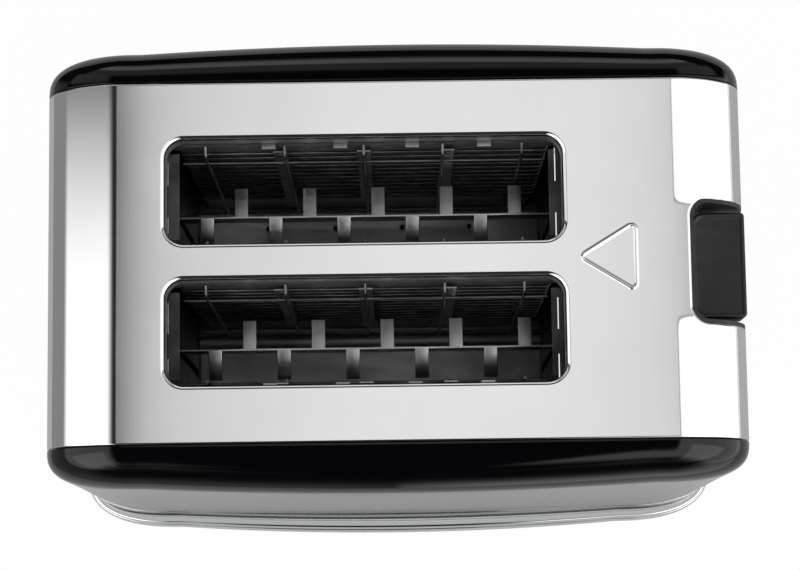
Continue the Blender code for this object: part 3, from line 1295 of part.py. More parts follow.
def return_spring(steel):
    """The spring round the guide rod that raises the carriage, as one unbroken coil."""
    points_each = 7
    low, high = ROD_SEAT_TOP + CLEARANCE, BRACKET_LOW - CLEARANCE
    tail = SPRING_WIRE * 3
    rise = high - low - tail * 2
    start_x = ROD_PLACE[0] + SPRING_RADIUS
    path = [(start_x, ROD_Y, low)]
    for k in range(SPRING_COILS * points_each + 1):
        share = k / (SPRING_COILS * points_each)
        turn = math.tau * SPRING_COILS * share
        x, y = ROD_PLACE[0] + SPRING_RADIUS * math.cos(turn), ROD_Y + SPRING_RADIUS * math.sin(turn)
        path.append((x, y, low + tail + rise * share))
    path.append((start_x, ROD_Y, high))
    gap = least_gap(path, SPRING_WIRE, SPRING_RADIUS * 2)
    print(f"return_spring least gap to itself {gap * 1000:.2f} mm")
    return wound_wire("return_spring", steel, path, SPRING_WIRE)


def holding_magnet(iron, copper):
    """The U-shaped core and its coil, which hold the carriage down."""
    low, high = magnet_box()
    post, coil_wall = MAGNET_POST, COIL_WALL
    outline = [(low[1], low[2]), (high[1], low[2]), (high[1], high[2]), (high[1] - post, high[2])]
    outline += [(high[1] - post, low[2] + post), (low[1] + post, low[2] + post)]
    outline += [(low[1] + post, high[2]), (low[1], high[2])]
    inset = coil_wall + CLEARANCE * 2
    sides = low[0] + inset, high[0] - inset
    prism("magnet_core", iron, "yz", [outline], *sides)
    hole_low = (sides[0] - CLEARANCE, low[1] - CLEARANCE)
    hole_high = (sides[1] + CLEARANCE, low[1] + post + CLEARANCE)
    hole = rounded_box(hole_low, hole_high, [0.0] * 4)
    outer_low = (hole_low[0] - coil_wall, hole_low[1] - coil_wall)
    outer_high = (hole_high[0] + coil_wall, hole_high[1] + coil_wall)
    outer = rounded_box(outer_low, outer_high, [coil_wall] * 4, 3)
    base = low[2] + post + CLEARANCE
    plate("magnet_coil", copper, "xy", outer, [hole], base, high[2] - CLEARANCE * 3)


def main():
    for old in list(bpy.data.objects):
        bpy.data.objects.remove(old)
    polished = look("polished steel", (0.80, 0.80, 0.81), 0.12, 1.0)
    chrome = look("chrome", (0.86, 0.86, 0.87), 0.06, 1.0)
    gloss = look("gloss black plastic", (0.008, 0.008, 0.010), 0.10)
    satin = look("satin black plastic", (0.020, 0.020, 0.022), 0.38)
    matte = look("matte black plastic", (0.016, 0.016, 0.017), 0.60)
    plated = look("plated sheet steel", (0.50, 0.50, 0.49), 0.34, 1.0)
    bright = look("bright wire", (0.62, 0.61, 0.60), 0.28, 1.0)
    mica = look("mica", (0.34, 0.31, 0.26), 0.55)
    ribbon = look("heating wire", (0.16, 0.14, 0.13), 0.50, 1.0)
    rubber = look("rubber", (0.015, 0.015, 0.015), 0.85)
    resin = look("glass resin board", (0.03, 0.14, 0.06), 0.45)
    copper = look("enamelled copper", (0.48, 0.16, 0.06), 0.35, 1.0)
    iron = look("soft iron", (0.32, 0.32, 0.33), 0.45, 1.0)

    steel_band(polished)
    side_panel("rear_panel", gloss, 1)
    side_panel("front_panel", gloss, -1)
    skirt(chrome)
    base_pan(matte)
    feet(rubber)
    screws(bright)
    cord_gland(matte)
    crumb_tray(plated)

    plate_right = end_plate("end_plate_right", plated, CHAMBER_RIGHT, 1)
    boolean(plate_right, rod_ear(plated), "UNION")
    end_plate("end_plate_left", plated, CHAMBER_LEFT, -1)
    chamber_floor(plated)
    for name, centre_y, front in BOARD_PLACES:
        element_board(name, mica, centre_y)
        element_winding(name, ribbon, centre_y, front)
    reflector("reflector_rear", plated, BOARD_PLACES[0], 1)
    reflector("reflector_front", plated, BOARD_PLACES[3], -1)
    centre_frame(plated)
    for place in guard_places():
        guard(place[0], bright, *place[1:])

    bread_carrier("carrier_rear", plated, SLOT_CENTRE_Y, REAR_TAB_SHIFT)
    bread_carrier("carrier_front", plated, -SLOT_CENTRE_Y, FRONT_TAB_SHIFT)
    carriage(plated)
    armature(iron)
    lever_arm(plated)
    lever_paddle(satin)
    guide_rod(bright)
    return_spring(bright)
    holding_magnet(iron, copper)

    lever_housing(matte)
    circuit_board(resin)
    buttons(satin)
    dial(satin, bright)


main()
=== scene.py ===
"""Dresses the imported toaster: fine meshes, procedural finishes and a plain white studio.

Metres, +Z up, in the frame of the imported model: X runs along the slots with the lever at +X,
Y runs across them to the rear panel, and the origin is on the table under the body.
"""

from __future__ import annotations

import json
import logging
import math
from dataclasses import dataclass
from enum import Enum
from typing import Sequence

import bmesh
import bpy
from mathutils import Matrix, Vector
from mathutils.geometry import delaunay_2d_cdt

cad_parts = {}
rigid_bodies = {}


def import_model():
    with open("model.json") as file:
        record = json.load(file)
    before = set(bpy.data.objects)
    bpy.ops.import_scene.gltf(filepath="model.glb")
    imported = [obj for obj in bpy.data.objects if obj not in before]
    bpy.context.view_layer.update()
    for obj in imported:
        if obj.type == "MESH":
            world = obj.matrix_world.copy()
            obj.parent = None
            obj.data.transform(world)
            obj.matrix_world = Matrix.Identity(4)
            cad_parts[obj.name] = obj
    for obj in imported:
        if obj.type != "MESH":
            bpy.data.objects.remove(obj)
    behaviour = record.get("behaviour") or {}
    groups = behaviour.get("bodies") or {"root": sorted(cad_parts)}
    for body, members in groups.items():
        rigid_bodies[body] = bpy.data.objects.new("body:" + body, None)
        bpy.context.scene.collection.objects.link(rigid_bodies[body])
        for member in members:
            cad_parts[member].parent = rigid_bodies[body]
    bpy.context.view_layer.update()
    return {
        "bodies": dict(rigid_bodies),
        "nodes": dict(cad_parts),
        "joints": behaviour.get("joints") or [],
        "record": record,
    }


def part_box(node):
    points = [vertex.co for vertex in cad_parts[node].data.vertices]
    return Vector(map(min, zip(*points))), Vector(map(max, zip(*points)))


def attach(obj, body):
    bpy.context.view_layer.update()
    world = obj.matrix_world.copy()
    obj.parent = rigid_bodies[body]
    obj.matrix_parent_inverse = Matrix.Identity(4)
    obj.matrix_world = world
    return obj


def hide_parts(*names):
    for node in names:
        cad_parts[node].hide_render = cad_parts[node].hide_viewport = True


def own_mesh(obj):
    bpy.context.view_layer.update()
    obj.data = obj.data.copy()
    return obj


LOG = logging.getLogger("toaster")
Tree, Node, Socket = bpy.types.NodeTree, bpy.types.Node, bpy.types.NodeSocket
Piece, Mesh = bpy.types.Object, bpy.types.Mesh
Point, Pair = Sequence[float], tuple[float, float]
MM = 0.001
QUARTER = 0.5 * math.pi
TOP = 0.1876
HALF_LENGTH = 0.1286
HALF_BAND = 0.0655
BODY_FOOT = 0.0230
SHOULDER = 0.0284
CLEARANCE = 0.0003
CHAMBER_LEFT, CHAMBER_RIGHT = -0.0830, 0.0606
NOISE_SPAN = (0.3, 0.7)
SLOT_CENTRES = (0.0256, -0.0256)
BOX_FACES = ((0, 1, 3, 2), (4, 6, 7, 5), (0, 4, 5, 1), (2, 3, 7, 6), (0, 2, 6, 4), (1, 5, 7, 3))


class Body(Enum):
    """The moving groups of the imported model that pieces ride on."""

    SHELL = "shell"
    CARRIAGE = "carriage"
    DIAL = "dial"
    TRAY = "tray"


def linear(code: str) -> tuple[float, float, float, float]:
    """Turns an sRGB hex colour into linear red, green and blue with full opacity."""
    shares = [int(code[k : k + 2], 16) / 255 for k in (1, 3, 5)]
    bent = [s / 12.92 if s <= 0.04045 else ((s + 0.055) / 1.055) ** 2.4 for s in shares]
    return (bent[0], bent[1], bent[2], 1.0)


def add_node(tree: Tree, kind: str, inputs: dict | None = None, **settings) -> Node:
    """Adds a node with its settings, and sets or links its inputs.

    Args:
        tree: The node tree that takes the node.
        kind: The node's class name.
        inputs: Values or output sockets, by input name or number.
        **settings: Attributes of the node.

    Returns:
        The new node.
    """
    node = tree.nodes.new(kind)
    for key, value in settings.items():
        setattr(node, key, value)
    for key, value in (inputs or {}).items():
        if isinstance(value, Socket):
            tree.links.new(value, node.inputs[key])
        else:
            node.inputs[key].default_value = value
    return node


def math_node(tree: Tree, operation: str, *values: Socket | float) -> Socket:
    """Adds a node that reckons with values or sockets, and returns its result."""
    return add_node(tree, "ShaderNodeMath", dict(enumerate(values)), operation=operation).outputs[0]


def range_node(tree: Tree, value: Socket, source: Pair, target: Pair, **settings) -> Socket:
    """Maps a value from one range into another, held at both ends, and returns its result."""
    ends = {"Value": value, "From Min": source[0], "From Max": source[1]}
    ends |= {"To Min": target[0], "To Max": target[1]}
    return add_node(tree, "ShaderNodeMapRange", ends, **settings).outputs[0]


class Surface:
    """A material's shader and the object coordinates that its marks follow."""

    def __init__(self, tree: Tree, colour: str) -> None:
        """Finds the shader, gives it its colour and adds the coordinates."""
        self.tree, self.colour = tree, linear(colour)
        self.shader = tree.nodes["Principled BSDF"]
        self.shader.inputs["Base Color"].default_value = self.colour
        self.place = add_node(tree, "ShaderNodeTexCoord").outputs["Object"]

    def link(self, value: Socket, label: str) -> None:
        """Links a value to one of the shader's inputs."""
        self.tree.links.new(value, self.shader.inputs[label])

    def texture(
        self, kind: str, size_mm: float, stretch: Point = (1.0, 1.0, 1.0), **inputs: float
    ) -> bpy.types.NodeOutputs:
        """Lays a texture over the surface at a real size.

        Args:
            kind: The texture node's class name.
            size_mm: How far apart its marks lie.
            stretch: How many times longer the marks are along each axis.
            **inputs: Further inputs of the node.

        Returns:
            The texture's outputs.
        """
        scale = [1.0 / (size_mm * MM * times) for times in stretch]
        spread = add_node(self.tree, "ShaderNodeMapping", {"Vector": self.place, "Scale": scale})
        return add_node(self.tree, kind, {"Vector": spread.outputs[0], "Scale": 1.0} | inputs).outputs

    def marks(
        self, size_mm: float, levels: Pair = (0.0, 1.0), stretch: Point = (1.0, 1.0, 1.0), detail: float = 2.0
    ) -> Socket:
        """Adds irregular marks of a real size.

        Args:
            size_mm: How far apart the marks lie.
            levels: The values at the pattern's low and high ends.
            stretch: How many times longer the marks are along each axis.
            detail: How many finer layers lie on the marks.

        Returns:
            The socket that holds the pattern's value.
        """
        noise = self.texture("ShaderNodeTexNoise", size_mm, stretch, Detail=detail)
        return range_node(self.tree, noise["Fac"], NOISE_SPAN, levels)

    def relief(self, height: Socket, depth_mm: float, under: Socket | None = None) -> Socket:
        """Raises a pattern on the surface by a real depth.

        Args:
            height: The pattern, from zero to one.
            depth_mm: The height of its marks.
            under: The relief that this one lies on.

        Returns:
            The socket that holds the bent normal.
        """
        inputs = {"Height": height, "Distance": depth_mm * MM, "Strength": 1.0}
        if under is not None:
            inputs["Normal"] = under
        bend = add_node(self.tree, "ShaderNodeBump", inputs).outputs["Normal"]
        self.link(bend, "Normal")
        return bend

    def tint(self, share: Socket, other: str) -> None:
        """Mixes a second sRGB colour into the base colour by a pattern."""
        inputs = {0: share, 6: self.colour, 7: linear(other)}
        mix = add_node(self.tree, "ShaderNodeMix", inputs, data_type="RGBA")
        self.link(mix.outputs[2], "Base Color")


@dataclass(frozen=True)
class Finish:
    """One real material and how its surface was made."""

    name: str
    slot: str
    colour: str
    roughness: float
    metallic: float = 0.0
    ior: float = 1.5

    def material(self) -> bpy.types.Material:
        """Builds the material with its marks, once."""
        material = bpy.data.materials.get(self.name)
        if material is None:
            material = bpy.data.materials.new(self.name)
            material.use_nodes = True
            surface = Surface(material.node_tree, self.colour)
            values = {"Roughness": self.roughness, "Metallic": self.metallic}
            if not self.metallic:
                values["IOR"] = self.ior
            for label, value in values.items():
                surface.shader.inputs[label].default_value = value
            self.pattern(surface)
        return material

    def pattern(self, surface: Surface) -> None:
        """Adds the surface's own marks."""


@dataclass(frozen=True)
class PolishedSheet(Finish):
    """Rolled stainless sheet, polished across its width after forming."""

    dull: float = 0.3
    slots_reach: Pair = (90 * MM, 91 * MM)
    collar_drop: Pair = (3 * MM, 1.4 * MM)

    def pattern(self, surface: Surface) -> None:
        """Adds polishing lines, a slight pull of the sheet and handling haze."""
        # Polishing lines 0.3 mm apart run along Y, and blur each reflection a little across them.
        lines = surface.marks(0.3, stretch=(1.0, 60.0, 1.0))
        # The sheet's slow unevenness, about 60 mm wide, bends reflections by a hair.
        pull = surface.marks(60.0, detail=0.0)
        surface.relief(lines, 0.00018, surface.relief(pull, 0.012))
        # Haze from polishing paste and hands, in patches of about 25 mm.
        haze = surface.marks(25.0, (self.roughness, self.roughness + 0.02))
        # The polishing wheel doesn't reach the collars inside the slots, so they stay dull.
        tree = surface.tree
        x, _, z = add_node(tree, "ShaderNodeSeparateXYZ", {0: surface.place}).outputs
        near = range_node(tree, math_node(tree, "ABSOLUTE", x), self.slots_reach, (1.0, 0.0))
        levels = (TOP - self.collar_drop[0], TOP - self.collar_drop[1])
        deep = range_node(tree, z, levels, (self.dull, 0.0))
        surface.link(math_node(tree, "MULTIPLY_ADD", near, deep, haze), "Roughness")
        # The steel's grey drifts a little over patches of about 40 mm.
        surface.tint(surface.marks(40.0, (0.0, 0.5)), "#DFDFE0")


@dataclass(frozen=True)
class BrightPlate(Finish):
    """Chromium plated over a buffed die casting."""

    def pattern(self, surface: Surface) -> None:
        """Adds the buffed metal's slight waves and a faint haze."""
        # Waves 18 mm long left by the buffing wheel show through the plating.
        surface.relief(surface.marks(18.0, detail=0.0), 0.004)
        # Haze in patches of 6 mm takes the edge off the mirror.
        surface.link(surface.marks(6.0, (self.roughness, self.roughness + 0.03)), "Roughness")


@dataclass(frozen=True)
class MouldedPlastic(Finish):
    """Plastic moulded against a polished or a spark-eroded tool."""

    grain_mm: float = 1.4
    grain_depth_mm: float = 0.0006
    second: str = "#101012"

    def pattern(self, surface: Surface) -> None:
        """Adds the tool's grain and fine wiping marks in the gloss."""
        # The tool's grain, or the faint orange peel of a polished tool.
        surface.relief(surface.marks(self.grain_mm), self.grain_depth_mm)
        # Wiping marks, drawn 2 mm wide so that they show, change the gloss a little.
        wipe = (self.roughness * 0.85, self.roughness * 1.2)
        surface.link(surface.marks(2.0, wipe, (12.0, 2.0, 1.0), 4.0), "Roughness")
        surface.tint(surface.marks(15.0), self.second)


@dataclass(frozen=True)
class ZincSheet(Finish):
    """Zinc-plated sheet, folded and then tinted by the heat."""

    heated: str = "#969698"

    def pattern(self, surface: Surface) -> None:
        """Adds rolling lines, heat tint and scuffs."""
        # Rolling lines 0.5 mm apart along X.
        surface.relief(surface.marks(0.5, stretch=(50.0, 1.0, 1.0)), 0.0012)
        # Heat tint and crumb film in patches of about 14 mm.
        surface.tint(surface.marks(14.0, detail=4.0), self.heated)
        # Scuffs 3 mm apart, drawn out along X, break the gloss.
        scuffs = surface.marks(3.0, (self.roughness, self.roughness + 0.14), (3.0, 1.0, 1.0), 5.0)
        surface.link(scuffs, "Roughness")


@dataclass(frozen=True)
class DrawnWire(Finish):
    """Steel wire or bar drawn through a die, then plated or left to oxidise."""

    second: str = "#8C8780"

    def pattern(self, surface: Surface) -> None:
        """Adds heat staining and die marks."""
        # Heat stains lie along the wire in bands of about 9 mm.
        surface.tint(surface.marks(9.0, detail=3.0), self.second)
        # The die's scratches, 0.4 mm apart, catch the light as fine glints.
        surface.relief(surface.marks(0.4, stretch=(12.0, 1.0, 12.0)), 0.0008)


@dataclass(frozen=True)
class MicaSheet(Finish):
    """Mica flakes pressed and bonded into a stiff sheet."""

    def pattern(self, surface: Surface) -> None:
        """Adds overlapping flakes and a soft pearly gloss."""
        # Flakes of about 5 mm, each with its own tone.
        flakes = surface.texture("ShaderNodeTexVoronoi", 5.0)["Distance"]
        surface.tint(flakes, "#47474A")
        surface.relief(flakes, 0.02)
        # The gloss comes and goes over 4 mm, as flakes lie at different depths.
        gloss = surface.marks(4.0, (self.roughness - 0.12, self.roughness + 0.12), detail=4.0)
        surface.link(gloss, "Roughness")


@dataclass(frozen=True)
class WoundCopper(Finish):
    """Enamelled copper wire wound in close turns."""

    def pattern(self, surface: Surface) -> None:
        """Adds raised bands up the coil, with painted shade between the turns."""
        # Raised bands 1 mm apart bring out the turns, with a darker colour between them as painted shade
        # where the turns shade one another.
        inputs = {"Vector": surface.place, "Scale": 1 / (math.pi * MM), "Distortion": 0.3}
        wave = add_node(surface.tree, "ShaderNodeTexWave", inputs, bands_direction="Z", wave_profile="SIN")
        surface.relief(wave.outputs["Fac"], 0.12)
        surface.tint(wave.outputs["Fac"], "#5A2410")


@dataclass(frozen=True)
class BoardLaminate(Finish):
    """Glass and resin laminate under green solder mask."""

    def pattern(self, surface: Surface) -> None:
        """Adds the lighter tracks under the mask."""
        # Tracks about 2 mm apart show as lighter lines under the mask.
        tracks = surface.texture("ShaderNodeTexBrick", 4.0)["Fac"]
        surface.tint(tracks, "#2F6B3C")
        surface.relief(tracks, 0.03)


@dataclass(frozen=True)
class MouldedRubber(Finish):
    """Rubber pressed in a sand-blasted mould."""

    def pattern(self, surface: Surface) -> None:
        """Adds the mould's fine grain and dust."""
        # The mould's grain, 0.6 mm apart, keeps the rubber matt.
        surface.relief(surface.marks(0.6, detail=4.0), 0.01)
        # Dust settles in patches of about 3 mm.
        surface.tint(surface.marks(3.0, (0.0, 0.6), detail=5.0), "#2A2927")


STAINLESS = PolishedSheet("polished_stainless_sheet", "polished_steel", "#E7E7E7", 0.06, 1.0)
CHROME = BrightPlate("bright_chromium_plate", "chrome", "#EEF0F1", 0.05, 1.0)
GLOSS_ABS = MouldedPlastic("gloss_moulded_abs", "gloss_black", "#020204", 0.05, ior=1.42, second="#040406")
SATIN_ABS = MouldedPlastic(
    "satin_moulded_abs", "satin_black", "#101011", 0.34, 0.0, 1.5, 0.35, 0.004, "#151516"
)
MATTE_NYLON = MouldedPlastic(
    "matte_moulded_nylon", "matte_black", "#0A0A0B", 0.44, 0.0, 1.5, 0.3, 0.006, "#0E0E0F"
)
CONTROL_CASE = MouldedPlastic(
    "moulded_control_case", "control_case", "#1D1E21", 0.5, grain_mm=0.3, grain_depth_mm=0.004
)
ZINC = ZincSheet("zinc_plated_sheet", "plated_sheet", "#B8B8B9", 0.3, 1.0)
BRIGHT_ZINC = ZincSheet("bright_zinc_plated_sheet", "plated_sheet", "#C6C6C7", 0.26, 1.0, heated="#B2B2B4")
PASSIVATED_ZINC = ZincSheet("passivated_zinc_sheet", "plated_sheet", "#D2D2D3", 0.46, 1.0, heated="#BABABC")
# Painted shade: the end plates' zinc is made this dark grey to stand in for the shade on their folded tops.
SHADE_DARKENED_ZINC = ZincSheet("shade_darkened_zinc_sheet", "plated_sheet", "#4C4C4D", 0.36, 1.0, heated="#2E2E2F")
NICKEL_WIRE = DrawnWire("nickel_plated_drawn_wire", "bright_wire", "#A9A9A8", 0.3, 1.0)
GUARD_WIRE = DrawnWire("heat_stained_guard_wire", "bright_wire", "#777776", 0.34, 1.0, second="#4C4C4D")
HEATING_WIRE = DrawnWire("oxidised_resistance_wire", "heating_wire", "#7B7B7A", 0.4, 1.0, second="#4A4948")
MICA = MicaSheet("pressed_mica_sheet", "mica", "#313132", 0.42)
RUBBER = MouldedRubber("pressed_rubber", "rubber", "#1A1A1A", 0.75)
LAMINATE = BoardLaminate("green_board_laminate", "resin_board", "#164A26", 0.3)
COPPER = WoundCopper("enamelled_copper_winding", "copper", "#A5542B", 0.3, 1.0)
IRON = DrawnWire("ground_soft_iron", "soft_iron", "#9A9A9B", 0.4, 1.0, second="#77736E")
FINISHES = (STAINLESS, CHROME, GLOSS_ABS, SATIN_ABS, MATTE_NYLON, CONTROL_CASE, ZINC, NICKEL_WIRE)
FINISHES += (HEATING_WIRE, MICA, RUBBER, LAMINATE, COPPER, IRON)


def place_piece(piece: Piece, finish: Finish, body: Body | str, *nodes: str) -> None:
    """Puts a finished piece on its body and says what it stands for.

    Args:
        piece: The object, with its place in its mesh.
        finish: The piece's finish; not used.
        body: The body that it rides on.
        *nodes: The CAD nodes that it stands for.
    """
    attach(piece, body.value if isinstance(body, Body) else body)
    if nodes:
        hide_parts(*nodes)
    LOG.info("%s: %d faces, for %s", piece.name, len(piece.data.polygons), nodes or "itself")


def link_mesh(name: str, mesh: Mesh, finish: Finish) -> Piece:
    """Links a mesh to the scene as an object with one finish, and returns the object."""
    mesh.materials.clear()
    mesh.materials.append(finish.material())
    piece = bpy.data.objects.new(name, mesh)
    bpy.context.scene.collection.objects.link(piece)
    return piece


def smoothed(work: bmesh.types.BMesh, mesh: Mesh, crease: float) -> Mesh:
    """Joins doubled points and turns the faces out.

    Args:
        work: The faces, which are freed.
        mesh: The mesh that takes them.
        crease: The angle in degrees from which an edge stays sharp.

    Returns:
        The mesh, smooth at its gentle edges.
    """
    bmesh.ops.remove_doubles(work, verts=work.verts, dist=0.001 * MM)
    bmesh.ops.recalc_face_normals(work, faces=work.faces)
    work.to_mesh(mesh)
    work.free()
    mesh.shade_smooth()
    mesh.set_sharp_from_angle(angle=math.radians(crease))
    return mesh


def evaluated(piece: Piece) -> Mesh:
    """Applies a piece's modifiers, and returns the plain mesh."""
    bpy.context.view_layer.update()
    mesh = bpy.data.meshes.new_from_object(piece.evaluated_get(bpy.context.evaluated_depsgraph_get()))
    piece.modifiers.clear()
    return mesh


def finished(piece: Piece) -> Piece:
    """Applies a piece's modifiers, turns its faces out and returns it."""
    mesh = evaluated(piece)
    work = bmesh.new()
    work.from_mesh(mesh)
    piece.data = smoothed(work, mesh, 38.0)
    return piece


def closed_mesh(
    name: str, points: Sequence[Point], faces: Sequence[Sequence[int]], finish: Finish, crease: float = 35.0
) -> Piece:
    """Makes a closed body whose faces point out and whose gentle edges are smooth.

    Args:
        name: The object's name.
        points: Its corners.
        faces: Its faces, as numbers of corners.
        finish: Its finish.
        crease: The angle in degrees from which an edge stays sharp.

    Returns:
        The new object.
    """
    work = bmesh.new()
    verts = [work.verts.new(point) for point in points]
    for face in faces:
        work.faces.new([verts[index] for index in face])
    return link_mesh(name, smoothed(work, bpy.data.meshes.new(name), crease), finish)


def box_points(low: Point, high: Point) -> list[tuple[float, float, float]]:
    """Gives a box's corners in the order that BOX_FACES counts them."""
    xs, ys, zs = zip(low, high)
    return [(x, y, z) for x in xs for y in ys for z in zs]


def joined_rings(rings: Sequence[Sequence[Point]], closes: bool) -> tuple[list[Point], list[list[int]]]:
    """Joins rings of equal length into a skin.

    Args:
        rings: The rings in order.
        closes: Whether the last ring joins the first, or both ends get a cap.

    Returns:
        The corners and the faces.
    """
    count = len(rings[0])
    points = [point for ring in rings for point in ring]
    faces = []
    for step in range(len(rings) if closes else len(rings) - 1):
        first, second = step * count, (step + 1) % len(rings) * count
        for k in range(count):
            after = (k + 1) % count
            faces.append([first + k, first + after, second + after, second + k])
    if not closes:
        faces += [list(range(count)), list(range(len(points) - count, len(points)))]
    return points, faces


def lay_net(work: bmesh.types.BMesh, rows: Sequence[Sequence[Vector]]) -> None:
    """Lays a net of faces through rows of points."""
    net = [[work.verts.new(point) for point in row] for row in rows]
    for first, second in zip(net, net[1:]):
        for k in range(len(first) - 1):
            work.faces.new([first[k], first[k + 1], second[k + 1], second[k]])


def rounded_box(low: Pair, high: Pair, radii: Point, steps: int = 12) -> list[Pair]:
    """Makes an outline with a radius at each corner, anticlockwise from the low corner.

    Args:
        low: The low corner.
        high: The high corner.
        radii: The four radii, from the low corner anticlockwise.
        steps: How many steps each corner has.

    Returns:
        The outline's points.
    """
    corners = ((low[0], low[1], 2), (high[0], low[1], 3), (high[0], high[1], 0), (low[0], high[1], 1))
    points = []
    for (x, y, quarter), radius in zip(corners, radii):
        centre_x = x + radius if x == low[0] else x - radius
        centre_y = y + radius if y == low[1] else y - radius
        for k in range(steps + 1 if radius else 1):
            turn = QUARTER * (quarter + k / steps)
            points.append((centre_x + radius * math.cos(turn), centre_y + radius * math.sin(turn)))
    return points


def inside(point: Point, loop: Sequence[Point]) -> bool:
    """Tells whether a point lies inside a loop."""
    found = False
    for k, (x1, y1) in enumerate(loop):
        x0, y0 = loop[k - 1]
        if (y0 > point[1]) != (y1 > point[1]):
            found ^= point[0] < x0 + (point[1] - y0) * (x1 - x0) / (y1 - y0)
    return found


def smooth_share(value: float, start: float, end: float) -> float:
    """Rises gently from zero at the start to one at the end."""
    share = min(1.0, max(0.0, (value - start) / (end - start)))
    return share * share * (3 - 2 * share)


def eased(path: Sequence[Point], radius: float, steps: int = 6) -> list[Vector]:
    """Rounds the inner corners of a path.

    Args:
        path: The path's corners.
        radius: How far from a corner the bend starts.
        steps: How many steps a bend has.

    Returns:
        The path with bends.
    """
    corners = [Vector(point) for point in path]
    done = [corners[0]]
    for before, here, after in zip(corners, corners[1:], corners[2:]):
        start = here + (before - here).normalized() * min(radius, (before - here).length / 2)
        end = here + (after - here).normalized() * min(radius, (after - here).length / 2)
        for k in range(steps + 1):
            share = k / steps
            done.append(start * (1 - share) ** 2 + here * 2 * share * (1 - share) + end * share**2)
    return done + [corners[-1]]


@dataclass(frozen=True)
class NodeRig:
    """A geometry-nodes group with named inputs, run once over a guide mesh."""

    name: str

    def group(self) -> tuple[Tree, dict[str, str]]:
        """Builds the group once, and returns it with the identifier of each named input."""
        tree = bpy.data.node_groups.get(self.name)
        if tree is None:
            tree = bpy.data.node_groups.new(self.name, "GeometryNodeTree")
            kinds = {"Guide": "Geometry", "Radius": "Float", "Depth": "Float"}
            kinds |= {"Sides": "Int", "Finish": "Material"}
            for label, kind in kinds.items():
                tree.interface.new_socket(label, in_out="INPUT", socket_type="NodeSocket" + kind)
            tree.interface.new_socket("Result", in_out="OUTPUT", socket_type="NodeSocketGeometry")
            given = tree.nodes.new("NodeGroupInput").outputs
            real = add_node(tree, "GeometryNodeRealizeInstances", {"Geometry": self.shape(tree, given)})
            inputs = {"Geometry": real.outputs[0], "Material": given["Finish"]}
            done = add_node(tree, "GeometryNodeSetMaterial", inputs)
            add_node(tree, "NodeGroupOutput", {0: done.outputs[0]})
        items = [item for item in tree.interface.items_tree if item.in_out == "INPUT"]
        return tree, {item.name: item.identifier for item in items}

    def shape(self, tree: Tree, given: bpy.types.NodeOutputs) -> Socket:
        """Adds the nodes that make the shape, and returns its socket."""
        raise NotImplementedError

    def run(
        self,
        name: str,
        paths: Sequence[Sequence[Point]],
        finish: Finish,
        radius: float,
        depth: float = 0.0,
        sides: int = 8,
    ) -> Piece:
        """Runs the group over bare lines or points and keeps the plain result.

        Args:
            name: The piece's name.
            paths: The lines that the shape follows, or single points.
            finish: The piece's finish.
            radius: The radius of the wire or of each copy.
            depth: How far each copy stands out.
            sides: How many sides a round has.

        Returns:
            The finished piece.
        """
        points, lines = [], []
        for path in paths:
            lines += [(len(points) + k, len(points) + k + 1) for k in range(len(path) - 1)]
            points += list(path)
        guide = bpy.data.meshes.new(name)
        guide.from_pydata(points, lines, [])
        piece = link_mesh(name, guide, finish)
        rig = piece.modifiers.new(self.name, "NODES")
        rig.node_group, keys = self.group()
        values = {"Radius": radius, "Depth": depth, "Sides": sides, "Finish": finish.material()}
        for label, value in values.items():
            rig[keys[label]] = value
        return finished(piece)


class SweptWire(NodeRig):
    """Round wire swept along every line of the guide."""

    def shape(self, tree: Tree, given: bpy.types.NodeOutputs) -> Socket:
        """Sweeps a circle along the guide's lines."""
        line = add_node(tree, "GeometryNodeMeshToCurve", {"Mesh": given["Guide"]})
        inputs = {"Resolution": given["Sides"], "Radius": given["Radius"]}
        ring = add_node(tree, "GeometryNodeCurvePrimitiveCircle", inputs)
        inputs = {"Curve": line.outputs[0], "Profile Curve": ring.outputs[0], "Fill Caps": True}
        return add_node(tree, "GeometryNodeCurveToMesh", inputs).outputs[0]


class RivetRow(NodeRig):
    """A flat-headed rivet or pin at every point of the guide, lying across Y."""

    def shape(self, tree: Tree, given: bpy.types.NodeOutputs) -> Socket:
        """Puts a squashed ball at each of the guide's points."""
        inputs = {"Segments": given["Sides"], "Rings": 10, "Radius": given["Radius"]}
        ball = add_node(tree, "GeometryNodeMeshUVSphere", inputs)
        share = math_node(tree, "DIVIDE", given["Depth"], given["Radius"])
        scale = add_node(tree, "ShaderNodeCombineXYZ", {0: 1.0, 1: share, 2: 1.35})
        inputs = {"Points": given["Guide"], "Instance": ball.outputs[0], "Scale": scale.outputs[0]}
        return add_node(tree, "GeometryNodeInstanceOnPoints", inputs).outputs[0]


WIRES, RIVETS = SweptWire("swept_wire"), RivetRow("rivet_row")


def softened(frame: dict, node: str, finish: Finish, body: Body, width: float) -> None:
    """Replaces a node by a copy whose edges are rounded as a press or mould leaves them.

    Args:
        frame: The loaded frame.
        node: The CAD node.
        finish: Its finish.
        body: The body that it rides on.
        width: The width of the rounding.
    """
    source = frame["nodes"][node]
    work = bmesh.new()
    work.from_mesh(source.data)
    bmesh.ops.transform(work, matrix=source.matrix_world, verts=work.verts)
    bmesh.ops.remove_doubles(work, verts=work.verts, dist=0.002 * MM)
    bmesh.ops.dissolve_limit(work, angle_limit=math.radians(2.0), verts=work.verts, edges=work.edges)
    mesh = bpy.data.meshes.new(node + "_fine")
    work.to_mesh(mesh)
    work.free()
    piece = link_mesh(node + "_fine", mesh, finish)
    rounding = piece.modifiers.new("rounding", "BEVEL")
    rounding.width = width
    rounding.segments = 3
    rounding.limit_method = "ANGLE"
    rounding.angle_limit = math.radians(40.0)
    place_piece(finished(piece), finish, body, node)


